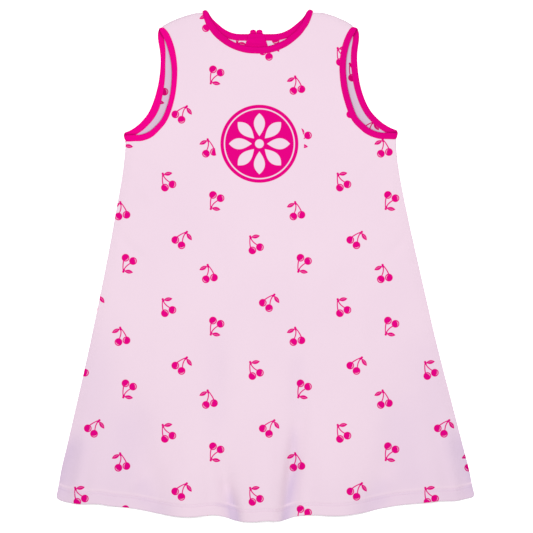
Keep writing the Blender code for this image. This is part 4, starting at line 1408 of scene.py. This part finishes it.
def cherry_group():
    """A pair of cherries hung from a knob at 0, 0, with a leaf. Ink is 1 where it is printed."""
    tree, given, made = group("pair of cherries", ("X", "Y"), ("Ink",))
    sums = Sums(tree)
    x, y = given["X"], given["Y"]
    ink = None
    pale = None
    for fruit_x, fruit_y, radius, glint_degrees in FRUITS:
        dx, dy = sums.subtract(x, fruit_x), sums.subtract(y, fruit_y)
        away = sums.length(dx, dy)
        fruit = sums.subtract(away, radius)
        ink = fruit if ink is None else sums.minimum(ink, fruit)
        glint_at = math.radians(glint_degrees)
        cut_x, cut_y = GLINT_CUT_ASIDE * math.cos(glint_at), GLINT_CUT_ASIDE * math.sin(glint_at)
        from_cut = sums.length(sums.add(dx, cut_x), sums.add(dy, cut_y))
        smaller = sums.subtract(away, radius - GLINT_IN)
        glint = sums.maximum(smaller, sums.subtract(GLINT_CUT_RADIUS, from_cut))
        pale = glint if pale is None else sums.minimum(pale, glint)
    for end_x, end_y, bend, lean in STEMS:
        t = sums.maximum(sums.minimum(sums.divide(y, end_y), 1.0), 0.0)
        bowed = sums.multiply(sums.multiply(t, sums.subtract(1.0, t)), 4 * bend)
        stem_x = sums.add(sums.multiply(t, end_x), bowed)
        side = sums.multiply(sums.subtract(x, stem_x), lean)
        past = sums.subtract(y, sums.multiply(t, end_y))
        ink = sums.minimum(ink, sums.subtract(sums.length(side, past), STEM_RADIUS))
    share = sums.maximum(sums.minimum(sums.divide(y, KNOB_REACH_Y), 1.0), 0.0)
    knob_x = sums.add(sums.multiply(share, KNOB_ALONG_X), KNOB_X)
    from_knob = sums.length(sums.subtract(x, knob_x), sums.subtract(y, sums.multiply(share, KNOB_ALONG_Y)))
    knob_radius = sums.subtract(KNOB_RADIUS, sums.multiply(share, KNOB_NARROWS))
    ink = sums.minimum(ink, sums.subtract(from_knob, knob_radius))
    leaf_x, leaf_y = sums.subtract(x, LEAF_X), sums.subtract(y, LEAF_Y)
    cos, sin = math.cos(LEAF_TURN), math.sin(LEAF_TURN)
    along = sums.add(sums.multiply(leaf_x, cos), sums.multiply(leaf_y, sin))
    aside = sums.subtract(sums.multiply(leaf_y, cos), sums.multiply(leaf_x, sin))
    taper = sums.subtract(1.0, sums.power(sums.divide(sums.absolute(along), LEAF_HALF_LENGTH), 2.0))
    ink = sums.minimum(ink, sums.subtract(sums.absolute(aside), sums.multiply(taper, LEAF_HALF_WIDTH)))
    from_vein = sums.subtract(sums.absolute(sums.subtract(aside, VEIN_ASIDE)), VEIN_HALF_WIDTH)
    vein = sums.maximum(from_vein, sums.subtract(sums.absolute(along), VEIN_HALF_LENGTH))
    glints = sums.multiply(sums.within(pale), GLINT_SHARE)
    bare = sums.maximum(glints, sums.multiply(sums.within(vein), VEIN_SHARE))
    tree.links.new(sums.multiply(sums.within(ink), sums.subtract(1.0, bare)), made["Ink"])
    return tree


def repeat_group(cherries):
    """One way up of the cherries, repeated over the cloth on the half-drop lattice."""
    words = ("X", "Y", "Knob X", "Knob Y", "Turn", "Mirror")
    tree, given, made = group("cherries on the lattice", words, ("Ink",))
    sums = Sums(tree)
    dx, dy = sums.subtract(given["X"], given["Knob X"]), sums.subtract(given["Y"], given["Knob Y"])
    column = sums.round(sums.divide(dx, DROP_ACROSS))
    dx = sums.subtract(dx, sums.multiply(column, DROP_ACROSS))
    dy = sums.add(dy, sums.multiply(column, DROP_DOWN))
    dy = sums.subtract(dy, sums.multiply(sums.round(sums.divide(dy, REPEAT_DOWN)), REPEAT_DOWN))
    cos, sin = sums.cosine(given["Turn"]), sums.sine(given["Turn"])
    x = sums.multiply(sums.add(sums.multiply(dx, cos), sums.multiply(dy, sin)), given["Mirror"])
    y = sums.subtract(sums.multiply(dy, cos), sums.multiply(dx, sin))
    ink = use(tree, cherries, X=x, Y=y)["Ink"]
    tree.links.new(ink, made["Ink"])
    return tree


def print_group():
    """The whole cherry print."""
    lattice = repeat_group(cherry_group())
    tree, given, made = group("cherry print", ("X", "Y"), ("Ink",))
    sums = Sums(tree)
    ink = None
    for knob_x, knob_y, turn, mirror in CHERRIES:
        one = use(tree, lattice, X=given["X"], Y=given["Y"], Knob_X=knob_x, Knob_Y=knob_y,
                  Turn=math.radians(turn), Mirror=mirror)["Ink"]
        ink = one if ink is None else sums.maximum(ink, one)
    tree.links.new(ink, made["Ink"])
    return tree


def badge_group():
    """A round badge with an eight-petalled flower left bare in it. Clear is 1 where no cherry is."""
    tree, given, made = group("flower badge", ("X", "Y"), ("Ink", "Clear"))
    sums = Sums(tree)
    x, y = sums.subtract(given["X"], BADGE_X), sums.subtract(given["Y"], BADGE_Y)
    away = sums.length(x, y)
    part = 2 * math.pi / PETALS
    angle = sums.arctan2(y, x)
    turned = sums.subtract(angle, sums.multiply(sums.round(sums.divide(angle, part)), part))
    along = sums.multiply(away, sums.cosine(turned))
    aside = sums.absolute(sums.multiply(away, sums.sine(turned)))
    out = sums.divide(sums.subtract(along, PETAL_MIDDLE), PETAL_HALF_LENGTH)
    fullness = sums.subtract(1.0, sums.multiply(out, out))
    half_width = sums.add(sums.multiply(out, PETAL_FLARE), PETAL_HALF_WIDTH)
    petal = sums.subtract(aside, sums.multiply(fullness, half_width))
    heart = sums.subtract(away, HEART_RADIUS)
    ring = sums.subtract(sums.absolute(sums.subtract(away, RING_RADIUS)), RING_HALF_WIDTH)
    bare = sums.minimum(sums.minimum(petal, heart), ring)
    disc = sums.subtract(away, BADGE_RADIUS)
    tree.links.new(sums.multiply(sums.within(disc), sums.subtract(1.0, sums.within(bare))), made["Ink"])
    tree.links.new(sums.within(sums.subtract(away, BADGE_CLEAR)), made["Clear"])
    return tree


def knit_group():
    """The height of plain knitting: columns of small V shaped stitches."""
    tree, given, made = group("plain knitting", ("X", "Y", "Wale", "Course"), ("Height",))
    sums = Sums(tree)
    across = sums.divide(given["X"], given["Wale"])
    from_rib = sums.absolute(sums.subtract(sums.fract(across), 0.5))
    rounding = sums.power(sums.cosine(sums.multiply(from_rib, math.pi)), KNIT_ROUND_POWER)
    up = sums.add(sums.divide(given["Y"], given["Course"]), sums.multiply(from_rib, KNIT_SLANT))
    wave = sums.add(sums.multiply(sums.sine(sums.multiply(up, 2 * math.pi)), KNIT_WAVE), 1 - KNIT_WAVE)
    tree.links.new(sums.multiply(rounding, wave), made["Height"])
    return tree


def new_material(name, roughness, specular):
    material = bpy.data.materials.new(name)
    material.use_nodes = True
    tree = material.node_tree
    shader = tree.nodes["Principled BSDF"]
    shader.inputs["Roughness"].default_value = roughness
    shader.inputs["Specular IOR Level"].default_value = specular
    return material, tree, shader


def mapped_cloth(name, roughness, specular):
    """A cloth's shader, a way to sum on its tree, and its map in millimetres."""
    material, tree, shader = new_material(name, roughness, specular)
    cut = tree.nodes.new("ShaderNodeUVMap")
    cut.uv_map = "cut"
    parts = tree.nodes.new("ShaderNodeSeparateXYZ")
    tree.links.new(cut.outputs["UV"], parts.inputs[0])
    sums = Sums(tree)
    x, y = sums.multiply(parts.outputs["X"], 1 / MM), sums.multiply(parts.outputs["Y"], 1 / MM)
    return material, tree, shader, sums, x, y


def mixed(tree, share, one, other, way="MIX"):
    """One colour going over into another, or multiplied by it, by a share."""
    node = tree.nodes.new("ShaderNodeMix")
    node.data_type = "RGBA"
    node.blend_type = way
    for value, socket in ((share, 0), (one, 6), (other, 7)):
        if isinstance(value, (tuple, float)):
            node.inputs[socket].default_value = value
        else:
            tree.links.new(value, node.inputs[socket])
    return node.outputs[2]


def clouds(tree, scale):
    """Soft patches over the object, from 0 to 1."""
    place = tree.nodes.new("ShaderNodeTexCoord")
    noise = tree.nodes.new("ShaderNodeTexNoise")
    noise.inputs["Scale"].default_value = scale
    noise.inputs["Detail"].default_value = 3.0
    tree.links.new(place.outputs["Object"], noise.inputs["Vector"])
    spread = tree.nodes.new("ShaderNodeMapRange")
    spread.inputs["From Min"].default_value = 0.3
    spread.inputs["From Max"].default_value = 0.7
    tree.links.new(noise.outputs["Fac"], spread.inputs["Value"])
    return spread.outputs["Result"]


def bumped(tree, shader, height, distance, strength):
    """Relief too fine for the mesh, so high in millimetres."""
    bump = tree.nodes.new("ShaderNodeBump")
    bump.inputs["Distance"].default_value = distance * MM
    bump.inputs["Strength"].default_value = strength
    tree.links.new(height, bump.inputs["Height"])
    tree.links.new(bump.outputs["Normal"], shader.inputs["Normal"])


def in_folds(tree, colour, shade):
    """A colour with less light on it where the cloth dips or lies under an edge."""
    folds = tree.nodes.new("ShaderNodeAttribute")
    folds.attribute_name = "fold_shade"
    return mixed(tree, folds.outputs["Fac"], colour, shade, "MULTIPLY")


def jersey(name, knit, cherries, badge=None, reverse=False):
    """Printed cotton jersey, right side or reverse."""
    material, tree, shader, sums, x, y = mapped_cloth(name, roughness=0.92, specular=0.03)
    ink = use(tree, cherries, X=x, Y=y)["Ink"]
    if badge is not None:
        flower = use(tree, badge, X=x, Y=y)
        ink = sums.maximum(sums.multiply(ink, sums.subtract(1.0, flower["Clear"])), flower["Ink"])
    ground = REVERSE if reverse else mixed(tree, clouds(tree, 9.0), BLUSH, BLUSH_SHADE)
    loops = use(tree, knit, X=x, Y=y, Wale=0.85, Course=0.62)["Height"]
    coloured = mixed(tree, ink, ground, REVERSE_INK if reverse else INK)
    # Painted shade between the knit's loops.
    painted_valley_shade = sums.multiply(sums.subtract(1.0, loops), JERSEY_VALLEY_SHADE)
    shaded = mixed(tree, painted_valley_shade, coloured, JERSEY_LOOP_SHADE_COLOUR, "MULTIPLY")
    shaded = in_folds(tree, shaded, REVERSE_SHADE_TINT if reverse else JERSEY_SHADE)
    tree.links.new(shaded, shader.inputs["Base Color"])
    bumped(tree, shader, loops, distance=0.12, strength=0.55)
    return material


def streaks(tree, sums, x, y):
    """Soft lines that run along a strip, as its stretched rib shows."""
    place = tree.nodes.new("ShaderNodeCombineXYZ")
    tree.links.new(sums.multiply(x, STREAK_ALONG), place.inputs["X"])
    tree.links.new(sums.multiply(y, STREAK_ACROSS), place.inputs["Y"])
    noise = tree.nodes.new("ShaderNodeTexNoise")
    noise.inputs["Scale"].default_value = 1.0
    noise.inputs["Detail"].default_value = 2.0
    tree.links.new(place.outputs[0], noise.inputs["Vector"])
    streaked = sums.add(sums.multiply(noise.outputs["Fac"], STREAK_CONTRAST), STREAK_SHIFT)
    return sums.minimum(sums.maximum(streaked, 0.0), 1.0)


def rib(name, knit, pink, pink_shade):
    """Plain hot pink rib, its columns across the strip."""
    material, tree, shader, sums, x, y = mapped_cloth(name, roughness=0.85, specular=0.02)
    loops = use(tree, knit, X=x, Y=y, Wale=0.9, Course=0.7)["Height"]
    ground = mixed(tree, streaks(tree, sums, x, y), pink, pink_shade)
    # Painted shade between the rib's loops.
    painted_valley_shade = sums.multiply(sums.subtract(1.0, loops), RIB_VALLEY_SHADE)
    rib_with_valley_shade = mixed(tree, painted_valley_shade, ground, RIB_LOOP_SHADE_COLOUR, "MULTIPLY")
    tree.links.new(in_folds(tree, rib_with_valley_shade, RIB_SHADE), shader.inputs["Base Color"])
    bumped(tree, shader, loops, distance=0.14, strength=0.6)
    return material


def thread(name, colour, dark):
    """Twisted sewing thread."""
    material, tree, shader = new_material(name, roughness=0.6, specular=0.2)
    twist = tree.nodes.new("ShaderNodeTexWave")
    twist.inputs["Scale"].default_value = 900.0
    twist.inputs["Distortion"].default_value = 1.0
    place = tree.nodes.new("ShaderNodeTexCoord")
    tree.links.new(place.outputs["Object"], twist.inputs["Vector"])
    tree.links.new(mixed(tree, twist.outputs["Fac"], colour, dark), shader.inputs["Base Color"])
    bumped(tree, shader, twist.outputs["Fac"], distance=0.04, strength=0.4)
    return material


def table_top():
    """The pale, matt floor."""
    material, tree, shader = new_material("pale table top", roughness=0.9, specular=0.1)
    ground = mixed(tree, clouds(tree, 5.0), TABLE_TOP, TABLE_TOP_SHADE)
    tree.links.new(ground, shader.inputs["Base Color"])
    tree.links.new(ground, shader.inputs["Emission Color"])
    shader.inputs["Emission Strength"].default_value = FLOOR_GLOW
    return material


# ---------------------------------------------------------------- the dress


def no_shift(x, _):
    return np.zeros_like(x)


def sewn_bindings(back_cloth, pink_rib, bright_rib):
    """The three bindings by node, and their threads' rows. They shade the back's cloth."""
    ring = band_ring()
    rows = []
    bands = {}
    for side, word, paint in ((-1, "right", bright_rib), (1, "left", pink_rib)):
        centres, across, folds, widths = armhole_path(side)
        piece, up = sweep(f"armhole_{word}_strip", centres, across, ring, paint, True, widths)
        edge = free_edge(piece, len(centres), True)
        shade_under(piece, edge, EDGE_SHADE_RUN, fading(piece, folds))
        shade_under(back_cloth, edge, CLOTH_SHADE_RUN, CLOTH_SHADE_SHARE)
        bands[f"armhole_binding_{word}"] = piece
        rows += band_rows(centres, across, up, True, widths)
    centres, across, folds, widths = neck_path()
    piece, up = sweep("neck_strip", centres, across, ring, pink_rib, False, widths)
    edge = free_edge(piece, len(centres), False)
    shade_under(piece, edge, EDGE_SHADE_RUN, fading(piece, folds))
    bands["neck_binding"] = piece
    rows += band_rows(centres, across, up, False, widths)
    return bands, rows


def make_dress():
    knit, cherries, badge = knit_group(), print_group(), badge_group()
    front_right_side = jersey("cherry jersey with badge", knit, cherries, badge)
    back_right_side = jersey("cherry jersey", knit, cherries)
    wrong_side = jersey("reverse of the jersey", knit, cherries, None, True)
    pink_rib = rib("hot pink rib", knit, RIB_PINK, RIB_PINK_SHADE)
    bright_rib = rib("bright pink rib", knit, BRIGHT_RIB, BRIGHT_RIB_SHADE)
    pale_stitch = stitch_tree(thread("pale pink thread", PALE_THREAD, PALE_THREAD_DARK))
    pink_stitch = stitch_tree(thread("hot pink thread", PINK_THREAD, PINK_THREAD_DARK))

    front = Panel(FRONT_ARMHOLE, FRONT_NECK, no_slit, 0.0, FRONT_COLUMNS, FRONT_SKIRT_STEP, FRONT_ARM_ROWS)
    back = Panel(BACK_ARMHOLE, BACK_NECK, slit_half_width, BACK_HEM_INSET, BACK_COLUMNS,
                 BACK_SKIRT_STEP, BACK_ARM_ROWS)
    front_cloth = cloth_piece("front_cloth", front, front_layer, front_right_side, wrong_side, True,
                              no_shift, (0.0, 0.0), (), front_shade)
    back_cloth = cloth_piece("back_cloth", back, back_layer, back_right_side, wrong_side, False,
                             back_reach, BACK_PRINT_SHIFT, BACK_REVERSE_SHIFTS, back_shade)
    bands, band_stitches = sewn_bindings(back_cloth, pink_rib, bright_rib)
    patch = neck_patch_piece(pink_rib)
    bow = bow_pieces(pink_rib)
    front_hem = stitches("front_hem_stitches", hem_rows(front, front_layer, True), pale_stitch)
    back_hem = stitches("back_hem_stitches", hem_rows(back, back_layer, False), pale_stitch)
    band_thread = stitches("binding_stitches", band_stitches, pink_stitch)

    jersey_pieces = (front_cloth, back_cloth, front_hem, back_hem)
    for piece in (*jersey_pieces, band_thread, patch, *bands.values(), *bow.values()):
        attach(piece, "root")
    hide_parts("front_panel")
    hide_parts("back_panel")
    for node, piece in {**bands, **bow, "neck_patch": patch}.items():
        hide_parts(node)


# ---------------------------------------------------------------- the studio


def softbox():
    light = bpy.data.lights.new("overhead softbox", "AREA")
    light.shape = "DISK"
    light.size = LAMP_SIZE
    light.energy = LAMP_WATTS
    holder = placed("overhead softbox", light)
    holder.location = LAMP_AT
    holder.rotation_euler = (Vector(LAMP_AIM) - Vector(LAMP_AT)).to_track_quat("-Z", "Y").to_euler()
    holder.visible_camera = False


def make_studio():
    bpy.ops.mesh.primitive_plane_add(size=FLOOR_SIZE, location=(0.0, 0.0, -FLOOR_DROP))
    table = bpy.context.object
    table.name = "table"
    table.data.materials.append(table_top())
    softbox()

    world = bpy.data.worlds.new("studio")
    world.use_nodes = True
    world.node_tree.nodes["Background"].inputs["Color"].default_value = (1.0, 1.0, 1.0, 1.0)
    world.node_tree.nodes["Background"].inputs["Strength"].default_value = ROOM_LIGHT
    bpy.context.scene.world = world
    bpy.context.scene.view_settings.view_transform = "Standard"

    camera = bpy.data.cameras.new("camera")
    camera.lens = LENS
    camera.clip_end = FARTHEST
    camera.sensor_width = SENSOR
    holder = placed("camera", camera)
    holder.location = (CAMERA_X, CAMERA_Y, SHARP_HEIGHT + FRAME_WIDTH * LENS / SENSOR)
    bpy.context.scene.camera = holder


make_dress()
make_studio()
